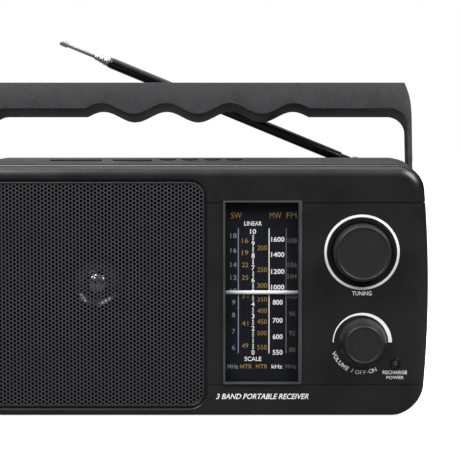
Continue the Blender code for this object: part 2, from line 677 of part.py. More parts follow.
def top_controls():
    case_high = 140.3
    for word, (left, right) in (("band", BAND_SLOT), ("function", FUNCTION_SLOT)):
        middle = (left + right) / 2
        case = add_piece(f"{word}_switch", slab((left - 1, SLOT_Y - 4.0, BOARD_HIGH + GAP),
                                                (right + 1, SLOT_Y + 4.0, case_high)), "satin_black")
        combine(case, helper(slab((left + 2, SLOT_Y - 1.0, case_high - 2.5), (right - 2, SLOT_Y + 1.0, 150))))
        slider = add_piece(f"{word}_slider", slab((-4.2, -2.2, SLIDER_TOP - 1.6), (4.2, 2.2, SLIDER_TOP)),
                           "satin_black", origin=(middle, SLOT_Y, 0))
        stem = slab((-2.2, -0.6, case_high - 1.7), (2.2, 0.6, SLIDER_TOP - 1.0))
        combine(slider, helper(stem, origin=(middle, SLOT_Y, 0)), "UNION")
    profile = ((0, -4.3), (1.6, -4.3), (1.6, -3.5), (5.3, -3.5), (5.3, -2.75), (BUTTON_RADIUS, -2.75),
               (BUTTON_RADIUS, -0.5), (4.0, -0.15), (3.6, -0.15), (2.0, -0.45), (0, -0.55))
    for name, x in zip(BUTTON_NAMES, BUTTON_X):
        add_piece(name, turned(profile, "Z", 18), "satin_black", *button_frame(x))
    board = add_piece("player_board", slab((-87, -13, BOARD_LOW), (29, 6, BOARD_HIGH)), "board")
    for x in BUTTON_X:
        switch = slab((x - 3, BUTTON_Y - 3, BOARD_HIGH - 0.4), (x + 3, BUTTON_Y + 3, 138.3))
        combine(board, helper(switch), "UNION")


# Power

def batteries():
    tray_low = (TRAY_LEFT - TRAY_WALL, -2.0, CELL_Z - CELL_RADIUS - 0.4 - TRAY_WALL)
    tray_high = (TRAY_RIGHT + TRAY_WALL, REAR_INSIDE - 0.5, CELL_Z + CELL_RADIUS + 0.4 + TRAY_WALL)
    tray = add_piece("battery_tray", slab(tray_low, tray_high), "black_plastic")
    room_low = (TRAY_LEFT, -0.5, tray_low[2] + TRAY_WALL)
    room_high = (TRAY_RIGHT, 60, tray_high[2] - TRAY_WALL)
    combine(tray, helper(slab(room_low, room_high)))

    start = TRAY_LEFT + 5.6
    for word in ("left", "right"):
        shoulder = start + CELL_LENGTH - 1.6
        profile = ((0, start), (CELL_RADIUS - 1.2, start), (CELL_RADIUS, start + 1.2),
                   (CELL_RADIUS, shoulder - 1.2), (CELL_RADIUS - 1.2, shoulder), (4.7, shoulder),
                   (4.7, start + CELL_LENGTH), (0, start + CELL_LENGTH))
        cell = turned(profile, "X", 20, centre=(0, CELL_Y, CELL_Z))
        add_piece(f"battery_{word}", cell, "cell_jacket")
        start += CELL_LENGTH + GAP
    plate = slab((start, CELL_Y - 6, CELL_Z - 9), (start + 0.5, CELL_Y + 6, CELL_Z + 9))
    add_piece("battery_contact", plate, "steel")
    battery_spring(TRAY_LEFT + 0.9, TRAY_LEFT + 4.9)

    left, right = TRAY_LEFT - 0.15, TRAY_RIGHT + 0.15
    door = add_piece("battery_door", slab((left, REAR_INSIDE + 0.1, DOOR_LOW + 0.35),
                                          (right, REAR_Y, DOOR_HIGH - 0.35)), "black_plastic")
    centre = (left + right) / 2
    for rib in range(5):
        x = centre + 4 * (rib - 2)
        combine(door, helper(slab((x - 0.8, REAR_Y - 0.8, DOOR_HIGH - 9), (x + 0.8, 50, DOOR_HIGH - 4))))


def battery_spring(start, end):
    """A cone spring that widens towards the tray's end wall."""
    turns = 3
    per_turn = 10
    data = bpy.data.curves.new("battery_spring", "CURVE")
    data.dimensions = "3D"
    data.bevel_depth = 0.45 * MM
    data.bevel_resolution = 1
    data.use_fill_caps = True
    spline = data.splines.new("POLY")
    count = turns * per_turn
    spline.points.add(count)
    for i, point in enumerate(spline.points):
        share = i / count
        angle = 2 * math.pi * turns * share
        radius = 8.5 - 4.5 * share
        place = (start + (end - start) * share, CELL_Y + radius * math.cos(angle),
                 CELL_Z + radius * math.sin(angle))
        point.co = (*(Vector(place) * MM), 1.0)
    data.materials.append(finish("steel"))
    bpy.context.scene.collection.objects.link(bpy.data.objects.new("battery_spring", data))


def mains_parts():
    core = add_piece("power_transformer", slab((58, 6, 82), (100, 22, 116)), "steel")
    combine(core, helper(slab((66, -4, 90), (92, 32, 108))), "UNION")
    inlet = add_piece("mains_inlet", slab((104.5, 22, 54.5), (118.5, REAR_Y - 0.3, 64.5)), "satin_black")
    combine(inlet, helper(slab((106, 27, 56), (117, 60, 63))))
    for x in (109.0, 114.0):
        combine(inlet, helper(rod(1.1, 25, REAR_Y - 4, steps=12, centre=(x, 0, 59.5))), "UNION")


def ferrite_antenna():
    centre = (0, 12.0, 126.0)
    add_piece("ferrite_rod", rod(4.5, -110, -8, "X", 24, centre), "ferrite")
    add_piece("ferrite_coil", collar(4.8, 6.0, -84, -46, "X", 24, centre), "copper")


clear_scene()
front_cabinet()
rear_cabinet()
case_screws()
speaker_grille()
dial_frame()
dial_window()
dial_scale_plate()
dial_pointer()
tuning_knob()
volume_knob()
power_lamp()
loudspeaker()
main_board()
cord_drum()
idler_pulleys()
dial_cord()
carry_handle()
antenna()
top_controls()
batteries()
mains_parts()
ferrite_antenna()
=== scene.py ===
import math

import bmesh
import bpy
from mathutils import Euler, Matrix, Vector


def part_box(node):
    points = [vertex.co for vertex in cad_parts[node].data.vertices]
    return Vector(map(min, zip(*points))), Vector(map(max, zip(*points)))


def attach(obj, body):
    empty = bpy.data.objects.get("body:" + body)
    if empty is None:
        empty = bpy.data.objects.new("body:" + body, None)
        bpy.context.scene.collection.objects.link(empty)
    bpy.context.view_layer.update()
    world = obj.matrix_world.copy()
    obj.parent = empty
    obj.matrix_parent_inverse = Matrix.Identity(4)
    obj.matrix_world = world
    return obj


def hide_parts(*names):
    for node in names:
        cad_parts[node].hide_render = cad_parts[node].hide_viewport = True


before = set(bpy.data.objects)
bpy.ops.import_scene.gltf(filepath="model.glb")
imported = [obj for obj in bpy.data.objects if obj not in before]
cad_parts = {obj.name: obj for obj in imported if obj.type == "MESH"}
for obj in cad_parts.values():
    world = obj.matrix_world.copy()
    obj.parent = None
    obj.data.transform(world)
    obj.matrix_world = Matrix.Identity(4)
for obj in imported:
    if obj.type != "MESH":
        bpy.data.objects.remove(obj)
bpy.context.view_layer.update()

# Lengths are in millimetres, as in the frame's own drawing, and MM turns them into metres.
MM = 0.001

# Cabinet
HALF_WIDTH = 126.9
BULGE = 3.9
FRONT_Y = -39.0
SEAM_Y = -15.0
REAR_Y = 39.0
FRONT_TOP = 142.0
CROWN_RISE = 2.4
CROWN_Y = 5.0
WALL = 2.2
PANEL = 2.5
TOP_RADIUS = 14.0
BOTTOM_RADIUS = 17.0
FRONT_FILLET = 7.5
FOOT_FILLET = 1.8
REAR_FILLET = 4.0
SHELF_Y = 28.6
SHELF_Z = 136.0
NOTCH_X = 121.3
NOTCH_FRONT = -12.4
NOTCH_REAR = 19.0
NOTCH_FLOOR = 106.0
GROOVE_LEFT = 6.2
GROOVE_HEIGHTS = (18.2, 120.6)
CORNER_STEPS = 12
SIDE_STEPS = 10
WELL_RADIUS = 19.5
WELL_DEPTH = 1.25
SPEAKER_HOLE = 47.0
GRILLE_RADIUS = 8.5

# Top controls
BUTTONS = ("previous", "play", "next", "mode")
BUTTON_Y = -3.25

# Carrying handle, with heights above its pivot
HANDLE_LEAN = 14.5
HANDLE_BORE = 2.8
ARM_OUTER = 124.7
ARM_INNER = 121.9
ARM_DEPTH = 9.0
GRIP_DEPTH = 10.0
GRIP_LOW = 54.5
GRIP_HIGH = 70.5
CORNER_LOW = 45.5
CORNER_DROP = 3.9
CORNER_SWEEP = 10.0
WAVE_PITCH = 37.4
WAVE_HEIGHT = 3.2

# Antenna, with places along it from its hinge
ANTENNA_RISE = 22.4
TUBE_STARTS = (9.0, 20.0, 24.0, 28.0)
TUBE_ENDS = (158.0, 161.0, 164.0, 167.0)
TUBE_RADII = (3.25, 2.8, 2.35, 1.9)
TUBE_WALL = 0.25

# Printing: a capital's height as a share of the font's size, and the curved words' letter widths as
# shares of a plain letter
CAP_SHARE = 0.682
LETTER_WIDTHS = {"M": 1.2, "L": 0.85, "E": 0.95, "/": 0.6, "-": 0.6, " ": 0.55, "F": 0.9}
DIGIT_WIDTHS = {"pale": 1.75, "gold": 1.83, "white": 1.87, "dim": 1.74}
SCALE_MIDDLE = 70.0
SCALE_HALF = 34.2

# Camera and light; lamps are (name, place in metres, size in metres, power in watts)
CAMERA_X = 18.8
CAMERA_DISTANCE = 1000.0
CAMERA_HEIGHT = 167.0
AIM_HEIGHT = 105.3
LENS = 140.0
LAMPS = (
    ("left", (-0.75, -0.72, 1.2), 0.85, 28.0),
    ("right", (0.96, -0.61, 1.05), 0.75, 28.0),
    ("rear", (-0.5, 1.3, 1.7), 1.1, 12.0),
)
LAMP_AIM = Vector((0, 0, 0.09))
SKY_POWER = 1.45
SKY_SPREAD = 50
HORIZON_LIGHT = 0.025
ZENITH_LIGHT = 0.9
WALL_TOP = 0.22
WHITE = (1.0, 1.0, 1.0, 1.0)


# Places read from the frame

def box_mm(node):
    low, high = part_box(node)
    return low / MM, high / MM


def centre_mm(node):
    low, high = box_mm(node)
    return (low + high) / 2


GRILLE_LOW, GRILLE_HIGH = box_mm("speaker_grille")
FRAME_LOW, FRAME_HIGH = box_mm("dial_frame")
PLATE_LOW, PLATE_HIGH = box_mm("dial_scale_plate")
POINTER_LOW, POINTER_HIGH = box_mm("dial_pointer")
TUNING = centre_mm("tuning_knob")
VOLUME = centre_mm("volume_knob")
LAMP = centre_mm("power_lamp")
SPEAKER = centre_mm("speaker_dust_cap")
SLOT_Y = centre_mm("band_slider").y
HINGE_PIN = centre_mm("antenna_hinge_pin")
HANDLE_PIVOT = centre_mm("handle_pin_right")


# Node materials

class Nodes:
    """A small helper that strings shader nodes together, for a material or the world."""

    def __init__(self, name, kind=bpy.data.materials, shader="Principled BSDF", coordinates="Object"):
        self.material = kind.new(name)
        self.material.use_nodes = True
        self.tree = self.material.node_tree
        self.shader = self.tree.nodes[shader]
        self.coordinates = self.add("ShaderNodeTexCoord").outputs[coordinates]

    def add(self, kind, **settings):
        node = self.tree.nodes.new(kind)
        for key, value in settings.items():
            setattr(node, key, value)
        return node

    def link(self, source, target):
        self.tree.links.new(source, target)

    def fill(self, node, **values):
        """Set a node's inputs by name, with _ for a space."""
        for key, value in values.items():
            node.inputs[key.replace("_", " ")].default_value = value

    def noise(self, scale, detail=4.0, roughness=0.55):
        node = self.add("ShaderNodeTexNoise")
        self.fill(node, Scale=scale, Detail=detail, Roughness=roughness)
        self.link(self.coordinates, node.inputs["Vector"])
        return node.outputs["Fac"]

    def cells(self, scale, feature):
        node = self.add("ShaderNodeTexVoronoi", feature=feature)
        self.fill(node, Scale=scale)
        self.link(self.coordinates, node.inputs["Vector"])
        return node.outputs["Distance"]

    def spread(self, value, low, high, start=0.3, end=0.7):
        node = self.add("ShaderNodeMapRange")
        self.fill(node, From_Min=start, From_Max=end, To_Min=low, To_Max=high)
        self.link(value, node.inputs["Value"])
        return node.outputs["Result"]

    def blend_colours(self, factor, first, second):
        node = self.add("ShaderNodeMix", data_type="RGBA")
        self.fill(node, A=(*first, 1.0), B=(*second, 1.0))
        self.link(factor, node.inputs["Factor"])
        return node.outputs["Result"]

    def colour(self, value):
        if isinstance(value, tuple):
            self.shader.inputs["Base Color"].default_value = (*value, 1.0)
        else:
            self.link(value, self.shader.inputs["Base Color"])

    def vary(self, factor, colour, low, high):
        """Blend between darker and lighter shares of one colour."""
        darker, lighter = (tuple(c * share for c in colour) for share in (low, high))
        self.colour(self.blend_colours(factor, darker, lighter))

    def gloss(self, value, roughness, haze):
        self.link(self.spread(value, roughness - haze, roughness + haze), self.shader.inputs["Roughness"])

    def split(self, axis):
        node = self.add("ShaderNodeSeparateXYZ")
        self.link(self.coordinates, node.inputs["Vector"])
        return node.outputs[axis]

    def bumps(self, *layers):
        """Each layer is (height, depth in millimetres)."""
        normal = None
        for height, depth in layers:
            node = self.add("ShaderNodeBump")
            self.fill(node, Strength=1.0, Distance=depth * MM)
            self.link(height, node.inputs["Height"])
            if normal is not None:
                self.link(normal, node.inputs["Normal"])
            normal = node.outputs["Normal"]
        self.link(normal, self.shader.inputs["Normal"])

    def set(self, **values):
        self.fill(self.shader, **values)


def moulded(name, colour, roughness, grain=1400.0, depth=0.012, specular=0.5, mottle=0.25, haze=0.06,
            patch=60):
    """Moulded plastic: a fine spark-eroded grain, faint mottling and slightly uneven gloss."""
    n = Nodes(name)
    n.vary(n.spread(n.noise(patch, 5), 0.0, 1.0), colour, 1 - mottle, 1 + mottle)
    n.gloss(n.noise(35, 6), roughness, haze)
    n.bumps((n.noise(grain, 3), depth), (n.noise(90, 2), 0.02))
    n.set(Specular_IOR_Level=specular)
    return n.material


def leathered(name, colour, roughness):
    """The grip's plastic, moulded with a leather-like grain."""
    n = Nodes(name)
    pits = n.cells(900, "SMOOTH_F1")
    n.vary(n.spread(n.noise(90, 10, 0.8), 0.0, 1.0, 0.35, 0.65), colour, 0.55, 1.5)
    n.gloss(n.noise(45, 5), roughness, 0.08)
    n.bumps((pits, 0.09), (n.noise(2200, 4), 0.02))
    n.set(Specular_IOR_Level=0.35)
    return n.material


def metal(name, colour, roughness, streak=0.03, grain=1200.0, depth=0.002):
    """Polished or plated metal with faint rubbing marks."""
    n = Nodes(name)
    n.vary(n.noise(80, 6), colour, 0.9, 1)
    n.gloss(n.noise(200, 8), roughness, streak)
    n.bumps((n.noise(grain, 4), depth))
    n.set(Metallic=1.0)
    return n.material


def painted_sheet(name, colour, roughness):
    """Stove-enamelled sheet metal."""
    n = Nodes(name)
    n.vary(n.noise(70, 4), colour, 0.85, 1.15)
    n.gloss(n.noise(150, 6), roughness, 0.07)
    n.bumps((n.noise(900, 4), 0.008))
    n.set(Specular_IOR_Level=0.6)
    return n.material


def ink(name, colour, fade=0.15):
    """Screen-printed ink with a slightly uneven coat."""
    n = Nodes(name)
    n.vary(n.noise(900, 3), colour, 1 - fade, 1)
    n.gloss(n.noise(500, 2), 0.5, 0.08)
    n.set(Specular_IOR_Level=0.2)
    return n.material


def clear_window(name):
    """The dial's thin clear window: mostly see-through, with the plain gloss of polished plastic."""
    n = Nodes(name)
    n.colour((0.01, 0.012, 0.016))
    n.gloss(n.noise(40, 4), 0.045, 0.025)
    n.bumps((n.noise(25, 2), 0.01))
    n.set(Alpha=0.04, Specular_IOR_Level=0.25)
    return n.material


def pointer_bar(name):
    """The pointer's white paint, darkened to blue-grey towards both ends as painted shade where the window
    frame shades the dial's sides.
    """
    n = Nodes(name)
    away = n.add("ShaderNodeMath", operation="SUBTRACT")
    n.link(n.split("X"), away.inputs[0])
    away.inputs[1].default_value = (FRAME_LOW.x + FRAME_HIGH.x) / 2 * MM
    plain = n.add("ShaderNodeMath", operation="ABSOLUTE")
    n.link(away.outputs["Value"], plain.inputs[0])
    # Painted shade: the bar darkens from white to blue-grey away from the dial's middle.
    n.colour(n.blend_colours(n.spread(plain.outputs["Value"], 0.0, 1.0, 0.008, 0.022),
                             (0.75, 0.76, 0.78), (0.16, 0.18, 0.24)))
    n.gloss(n.noise(300, 4), 0.4, 0.05)
    n.bumps((n.noise(900, 3), 0.003))
    return n.material


MATERIALS = {
    "cabinet": moulded("cabinet_plastic", (0.0080, 0.0080, 0.0086), 0.32, specular=0.40),
    "rear": moulded("rear_plastic", (0.0230, 0.0208, 0.0255), 0.42, grain=1100, depth=0.02, specular=0.6,
                    mottle=0.1, haze=0.025),
    "knob": moulded("knob_plastic", (0.0105, 0.0105, 0.011), 0.42, grain=1300, depth=0.08, specular=0.4,
                    mottle=0.6, patch=1300),
    "button": moulded("button_plastic", (0.003, 0.003, 0.0035), 0.14, grain=900, depth=0.001, specular=0.3,
                      haze=0.03),
    # Near-black plastic of the inner parts, also given to the tuning well, the switch slots and the button
    # mouths as painted shade in these hollows.
    "inner": moulded("inner_plastic_and_recess_shade", (0.004, 0.004, 0.0044), 0.6, specular=0.2),
    # Near-black felt, laid behind the grille as painted shade for the dark cavity behind the holes.
    "shade_felt": moulded("lining_felt", (0.003, 0.003, 0.0033), 0.95, grain=600, depth=0.08, specular=0.1),
    "white": moulded("white_plastic", (0.62, 0.62, 0.64), 0.4, mottle=0.05),
    "board": moulded("board_laminate", (0.03, 0.13, 0.05), 0.45, mottle=0.3),
    "frame": moulded("frame_plastic", (0.042, 0.042, 0.046), 0.36),
    "ferrite": moulded("ferrite_grey", (0.03, 0.028, 0.03), 0.6),
    "paper": moulded("cone_paper", (0.004, 0.004, 0.0044), 0.9, grain=700, depth=0.05, specular=0.1),
    "jacket": moulded("cell_jacket", (0.03, 0.09, 0.25), 0.35, mottle=0.1),
    "plate": moulded("dial_plate_plastic", (0.0055, 0.0058, 0.0095), 0.5, grain=400, depth=0.002,
                     specular=0.15),
    "lamp": moulded("lamp_lens", (0.03, 0.028, 0.03), 0.15, grain=200, depth=0.002),
    "handle": leathered("handle_plastic", (0.0120, 0.0116, 0.0134), 0.58),
    "speaker_paint": painted_sheet("speaker_frame_paint", (0.004, 0.004, 0.0045), 0.6),
    "grille": painted_sheet("grille_paint", (0.032, 0.031, 0.037), 0.4),
    # Near-black enamel on the grille's rolled rim, as painted shade for the dark gap round the sheet.
    "rim": painted_sheet("grille_rim_shade_paint", (0.004, 0.004, 0.0045), 0.5),
    "chrome": metal("chrome", (0.5, 0.5, 0.52), 0.12),
    "silver": metal("antenna_silver", (0.5, 0.5, 0.52), 0.3),
    "dark_chrome": metal("dark_chrome", (0.045, 0.045, 0.05), 0.2),
    "cap": metal("dust_cap_metal", (0.42, 0.40, 0.39), 0.16, grain=500, depth=0.01),
    "cap_ring": metal("dust_ring_metal", (0.10, 0.10, 0.105), 0.16, grain=500, depth=0.01),
    "pointer": pointer_bar("pointer_bar"),
    "steel": metal("steel", (0.42, 0.42, 0.43), 0.32, streak=0.08),
    "copper": metal("winding_copper", (0.6, 0.27, 0.14), 0.35, streak=0.08, grain=300, depth=0.05),
    "cord": ink("cord_thread", (0.5, 0.44, 0.32), 0.3),
    "print_white": ink("print_white", (0.82, 0.82, 0.82)),
    # Blue-white ink, darkened as painted shade for the leftmost column where the window frame shades the
    # dial.
    "print_pale": ink("print_pale", (0.24, 0.28, 0.34)),
    "print_gold": ink("print_gold", (0.30, 0.20, 0.06)),
    # Gold ink greyed and darkened as painted shade, for the right-hand column where the window frame shades
    # the dial.
    "print_dim": ink("print_dim", (0.15, 0.13, 0.11)),
    "window": clear_window("window_plastic"),
}


# Mesh making

def join_rings(mesh, first, second):
    count = max(len(first), len(second))
    for i in range(count):
        j = (i + 1) % count
        if len(first) == 1:
            mesh.faces.new((first[0], second[i], second[j]))
        elif len(second) == 1:
            mesh.faces.new((first[i], first[j], second[0]))
        else:
            mesh.faces.new((first[i], first[j], second[j], second[i]))


def skin(rings, closed=False):
    """Skin a solid over rings of points, capping the ends or joining them into a loop."""
    mesh = bmesh.new()
    loops = [[mesh.verts.new(point) for point in ring] for ring in rings]
    for first, second in zip(loops, loops[1:]):
        join_rings(mesh, first, second)
    if closed:
        join_rings(mesh, loops[-1], loops[0])
    else:
        for loop in (loops[0], loops[-1]):
            if len(loop) > 2:
                mesh.faces.new(loop)
    bmesh.ops.recalc_face_normals(mesh, faces=mesh.faces)
    return mesh


def placed(name, data):
    """A new object in the scene."""
    made = bpy.data.objects.new(name, data)
    bpy.context.scene.collection.objects.link(made)
    return made


def evaluated_mesh(item):
    bpy.context.view_layer.update()
    graph = bpy.context.evaluated_depsgraph_get()
    return bpy.data.meshes.new_from_object(item.evaluated_get(graph))


def add_object(name, mesh, material, origin=(0, 0, 0), tilt=(0, 0, 0), sharp=30):
    bmesh.ops.scale(mesh, vec=(MM, MM, MM), verts=mesh.verts)
    data = bpy.data.meshes.new(name)
    mesh.to_mesh(data)
    mesh.free()
    if material:
        data.materials.append(MATERIALS[material])
    data.shade_smooth()
    data.set_sharp_from_angle(angle=math.radians(sharp))
    made = placed(name, data)
    made.location = Vector(origin) * MM
    made.rotation_euler = Euler([math.radians(angle) for angle in tilt])
    return made


def piece(name, mesh, material, body, nodes=(), origin=(0, 0, 0), tilt=(0, 0, 0), sharp=30, slot=None,
          cuts=()):
    """A finished piece, cut by any tools given, that rides on a body and may stand for CAD nodes."""
    made = add_object(name, mesh, material, origin, tilt, sharp)
    if cuts:
        carve(made, cuts, sharp)
    settle(made, body, nodes)
    return made


def settle(made, body, nodes=()):
    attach(made, body)
    if nodes:
        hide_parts(*nodes)


def even_shading(target):
    """Let the large faces settle the shading of the smooth edges next to them."""
    weigh = target.modifiers.new("even_shading", "WEIGHTED_NORMAL")
    weigh.weight = 90
    weigh.keep_sharp = True


def carve(target, tools, sharp=30, joins=()):
    """Join and cut the target with tools and keep the result as its plain mesh."""
    steps = [(item, "UNION") for item in joins] + [(item, "DIFFERENCE") for item in tools]
    for item, operation in steps:
        change = target.modifiers.new("combine", "BOOLEAN")
        change.operation = operation
        change.solver = "EXACT"
        change.object = item
        if item.data.materials:
            change.material_mode = "TRANSFER"
    result = evaluated_mesh(target)
    target.modifiers.clear()
    target.data = result
    result.shade_smooth()
    result.set_sharp_from_angle(angle=math.radians(sharp))
    for item, _ in steps:
        bpy.data.objects.remove(item)


def tool(mesh, origin=(0, 0, 0), tilt=(0, 0, 0), material=None):
    """A cutter; the faces that it leaves behind take its material if it has one."""
    return add_object("tool", mesh, material, origin, tilt)


def slab(low, high):
    (x0, y0, z0), (x1, y1, z1) = low, high
    return skin([[(x0, y, z0), (x1, y, z0), (x1, y, z1), (x0, y, z1)] for y in (y0, y1)])


def turned(profile, axis="Y", steps=64, closed=False, centre=(0, 0, 0)):
    rings = []
    for radius, along in profile:
        ring = []
        for i in range(steps if radius > 0 else 1):
            angle = 2 * math.pi * i / steps
            a = radius * math.cos(angle)
            b = radius * math.sin(angle)
            place = {"X": (along, a, b), "Y": (a, along, b), "Z": (a, b, along)}[axis]
            ring.append(tuple(c + p for c, p in zip(centre, place)))
        rings.append(ring)
    return skin(rings, closed)


def rounded(profile, radius=0.3, steps=4):
    """Round the inner corners of an open profile of (radius, place) points."""
    points = [Vector(p) for p in profile]
    result = [tuple(points[0])]
    for before, corner, after in zip(points, points[1:], points[2:]):
        back = before - corner
        on = after - corner
        reach = min(radius, back.length * 0.45, on.length * 0.45)
        start = corner + back.normalized() * reach
        end = corner + on.normalized() * reach
        for i in range(steps + 1):
            t = i / steps
            result.append(tuple(start * (1 - t) ** 2 + corner * 2 * t * (1 - t) + end * t * t))
    result.append(tuple(points[-1]))
    return result


def quarter_turn(steps):
    """Angles from 0 to 90 degrees in equal steps, in radians."""
    return [math.radians(90 * i / steps) for i in range(steps + 1)]


def on_front(place):
    """The place on the front that a shape turned about Y is centred on."""
    return place.x, 0, place.z


def rod(radius, start, end, axis="Y", steps=48, centre=(0, 0, 0)):
    return turned(((0, start), (radius, start), (radius, end), (0, end)), axis, steps, centre=centre)


def rounded_rectangle(left, right, low, high, radius, steps=10):
    points = []
    corners = (
        (right - radius, low + radius, -90),
        (right - radius, high - radius, 0),
        (left + radius, high - radius, 90),
        (left + radius, low + radius, 180),
    )
    for x, z, start in corners:
        for i in range(steps + 1):
            angle = math.radians(start + 90 * i / steps)
            points.append((x + radius * math.cos(angle), z + radius * math.sin(angle)))
    return points


def framed(outer, inner, profile, corner):
    """A closed rectangular moulding: outer and inner are (left, right, low, high), and the profile
    gives (share of the way from outer to inner, Y) for each ring."""
    rings = []
    for share, y in profile:
        left, right, low, high = (a * (1 - share) + b * share for a, b in zip(outer, inner))
        ring = rounded_rectangle(left, right, low, high, corner * (1 - share) + 0.3 * share, 6)
        rings.append([(x, y, z) for x, z in ring])
    return skin(rings, closed=True)


# Camera, light and floor

def aimed(name, data, direction, place=(0, 0, 0)):
    """Put a camera or light in the scene, looking along a direction."""
    made = placed(name, data)
    made.location = place
    made.rotation_euler = Vector(direction).to_track_quat("-Z", "Y").to_euler()
    return made


def camera_and_light():
    """The camera stands a metre in front, slightly above the set, and looks a little down."""
    scene = bpy.context.scene
    scene.view_settings.view_transform = "Standard"
    eye = Vector((CAMERA_X, FRONT_Y - CAMERA_DISTANCE, CAMERA_HEIGHT)) * MM
    target = Vector((CAMERA_X, FRONT_Y, AIM_HEIGHT)) * MM
    data = bpy.data.cameras.new("camera")
    data.lens = LENS
    data.clip_start = 0.05
    scene.camera = aimed("camera", data, target - eye, eye)
    scene.world = studio_world()
    for name, place, size, power in LAMPS:
        lamp = bpy.data.lights.new(name, "AREA")
        lamp.shape = "SQUARE"
        lamp.size = size
        lamp.energy = power
        aimed(name, lamp, LAMP_AIM - Vector(place), place)
    sky = bpy.data.lights.new("overhead", "SUN")
    sky.energy = SKY_POWER
    sky.angle = math.radians(SKY_SPREAD)
    aimed("overhead", sky, (0.0, -0.25, -1.0))

    floor = add_object("floor", skin([[(-6000, y, -0.2), (6000, y, -0.2), (6000, y, -4), (-6000, y, -4)]
                                      for y in (-6000, 6000)]), None)
    floor.data.materials.append(floor_material())


def studio_world():
    """A white backdrop whose light on the set grows from the dark room's walls up to its pale ceiling."""
    n = Nodes("studio", bpy.data.worlds, "Background", "Generated")
    room = n.spread(n.split("Z"), HORIZON_LIGHT, ZENITH_LIGHT, WALL_TOP, 1.0)
    seen = n.add("ShaderNodeLightPath").outputs["Is Camera Ray"]
    strength = n.spread(seen, 0.0, 1.0, 0.0, 1.0)
    n.link(room, strength.node.inputs["To Min"])
    n.link(strength, n.shader.inputs["Strength"])
    n.set(Color=WHITE)
    return n.material


def floor_material():
    """Pale paper that throws only a little light back onto the set, as a small sheet in a dark room does."""
    n = Nodes("floor_paper")
    seen = n.add("ShaderNodeLightPath").outputs["Is Camera Ray"]
    n.colour(n.blend_colours(seen, (0.12, 0.12, 0.12), (0.87, 0.87, 0.87)))
    n.gloss(n.noise(3, 3), 0.9, 0.05)
    n.link(n.spread(seen, 0.02, 0.85, 0.0, 1.0), n.shader.inputs["Emission Strength"])
    n.set(Specular_IOR_Level=0.1, Emission_Color=WHITE)
    return n.material


# Cabinet

def crown_height(y):
    """Height of the top: level at the front, then rising in a curve behind the seam."""
    rise = min(max((y - SEAM_Y) / (CROWN_Y - SEAM_Y), 0.0), 1.0)
    return FRONT_TOP + CROWN_RISE * rise * (2 - rise)


def button_frame(word):
    """Place and tilt of a push button, square to the sloping top."""
    run = CROWN_Y - SEAM_Y
    slope = 2 * CROWN_RISE * (1 - (BUTTON_Y - SEAM_Y) / run) / run
    place = (centre_mm(f"{word}_button").x, BUTTON_Y, crown_height(BUTTON_Y))
    return place, (math.degrees(math.atan(slope)), 0, 0)


def cabinet_ring(y, inset=0.0, foot_inset=None):
    """The cabinet's outline at depth y: round corners, barrel sides and an arched top."""
    top = crown_height(y) - inset
    low = inset if foot_inset is None else foot_inset
    half = HALF_WIDTH - inset
    foot = max(BOTTOM_RADIUS - inset, 3.0)
    head = max(TOP_RADIUS - inset, 3.0)
    quarter = []
    for i in range(CORNER_STEPS + 1):
        angle = math.radians(-90 + 90 * i / CORNER_STEPS)
        quarter.append((half - foot + foot * math.cos(angle), low + foot + foot * math.sin(angle)))
    for i in range(1, SIDE_STEPS):
        share = i / SIDE_STEPS
        quarter.append((half, (low + foot) * (1 - share) + (top - head) * share))
    for angle in quarter_turn(CORNER_STEPS):
        quarter.append((half - head + head * math.cos(angle), top - head + head * math.sin(angle)))
    for i in range(1, SIDE_STEPS):
        share = i / SIDE_STEPS
        quarter.insert(i - 1, ((half - foot) * share, low))
        quarter.append(((half - head) * (1 - share), top))
    outline = quarter + [(-x, z) for x, z in reversed(quarter)]
    middle = FRONT_TOP / 2
    swell = BULGE / HALF_WIDTH
    return [(x * (1 + swell * (1 - ((z - middle) / middle) ** 2)), y, z) for x, z in outline]


def front_rings(inset=0.0, steps=12):
    """Rings of the front moulding's outer skin, from the front face back past its fillet."""
    return [cabinet_ring(FRONT_Y + inset + FRONT_FILLET * (1 - math.cos(angle)),
                         inset + FRONT_FILLET * (1 - math.sin(angle)),
                         inset + FOOT_FILLET * (1 - math.sin(angle))) for angle in quarter_turn(steps)]


def groove(region, depth=0.45):
    """A shallow groove: the region outside a copy of the cabinet shrunk by the groove's depth."""
    cutter = tool(region)
    carve(cutter, [tool(skin(front_rings(depth, 8) + [cabinet_ring(SEAM_Y + 20, depth)]))])
    return cutter


def flared_hole(radius, place, flare):
    """A round hole through the front with a softened mouth."""
    profile = ((0, FRONT_Y - 9), (radius + 9 + flare, FRONT_Y - 9), (radius + flare, FRONT_Y),
               (radius + flare * 0.3, FRONT_Y + flare * 0.3), (radius, FRONT_Y + flare),
               (radius, FRONT_Y + 9), (0, FRONT_Y + 9))
    return tool(turned(profile, centre=on_front(place)))


def front_hole(radius, place, steps=48):
    return tool(rod(radius, FRONT_Y - 6, FRONT_Y + 6, steps=steps, centre=on_front(place)))


def grille_ring(grow, y, steps=12):
    """The grille's outline at depth y, grown outwards."""
    outline = rounded_rectangle(GRILLE_LOW.x - grow, GRILLE_HIGH.x + grow, GRILLE_LOW.z - grow,
                                GRILLE_HIGH.z + grow, GRILLE_RADIUS + grow, steps)
    return [(x, y, z) for x, z in outline]


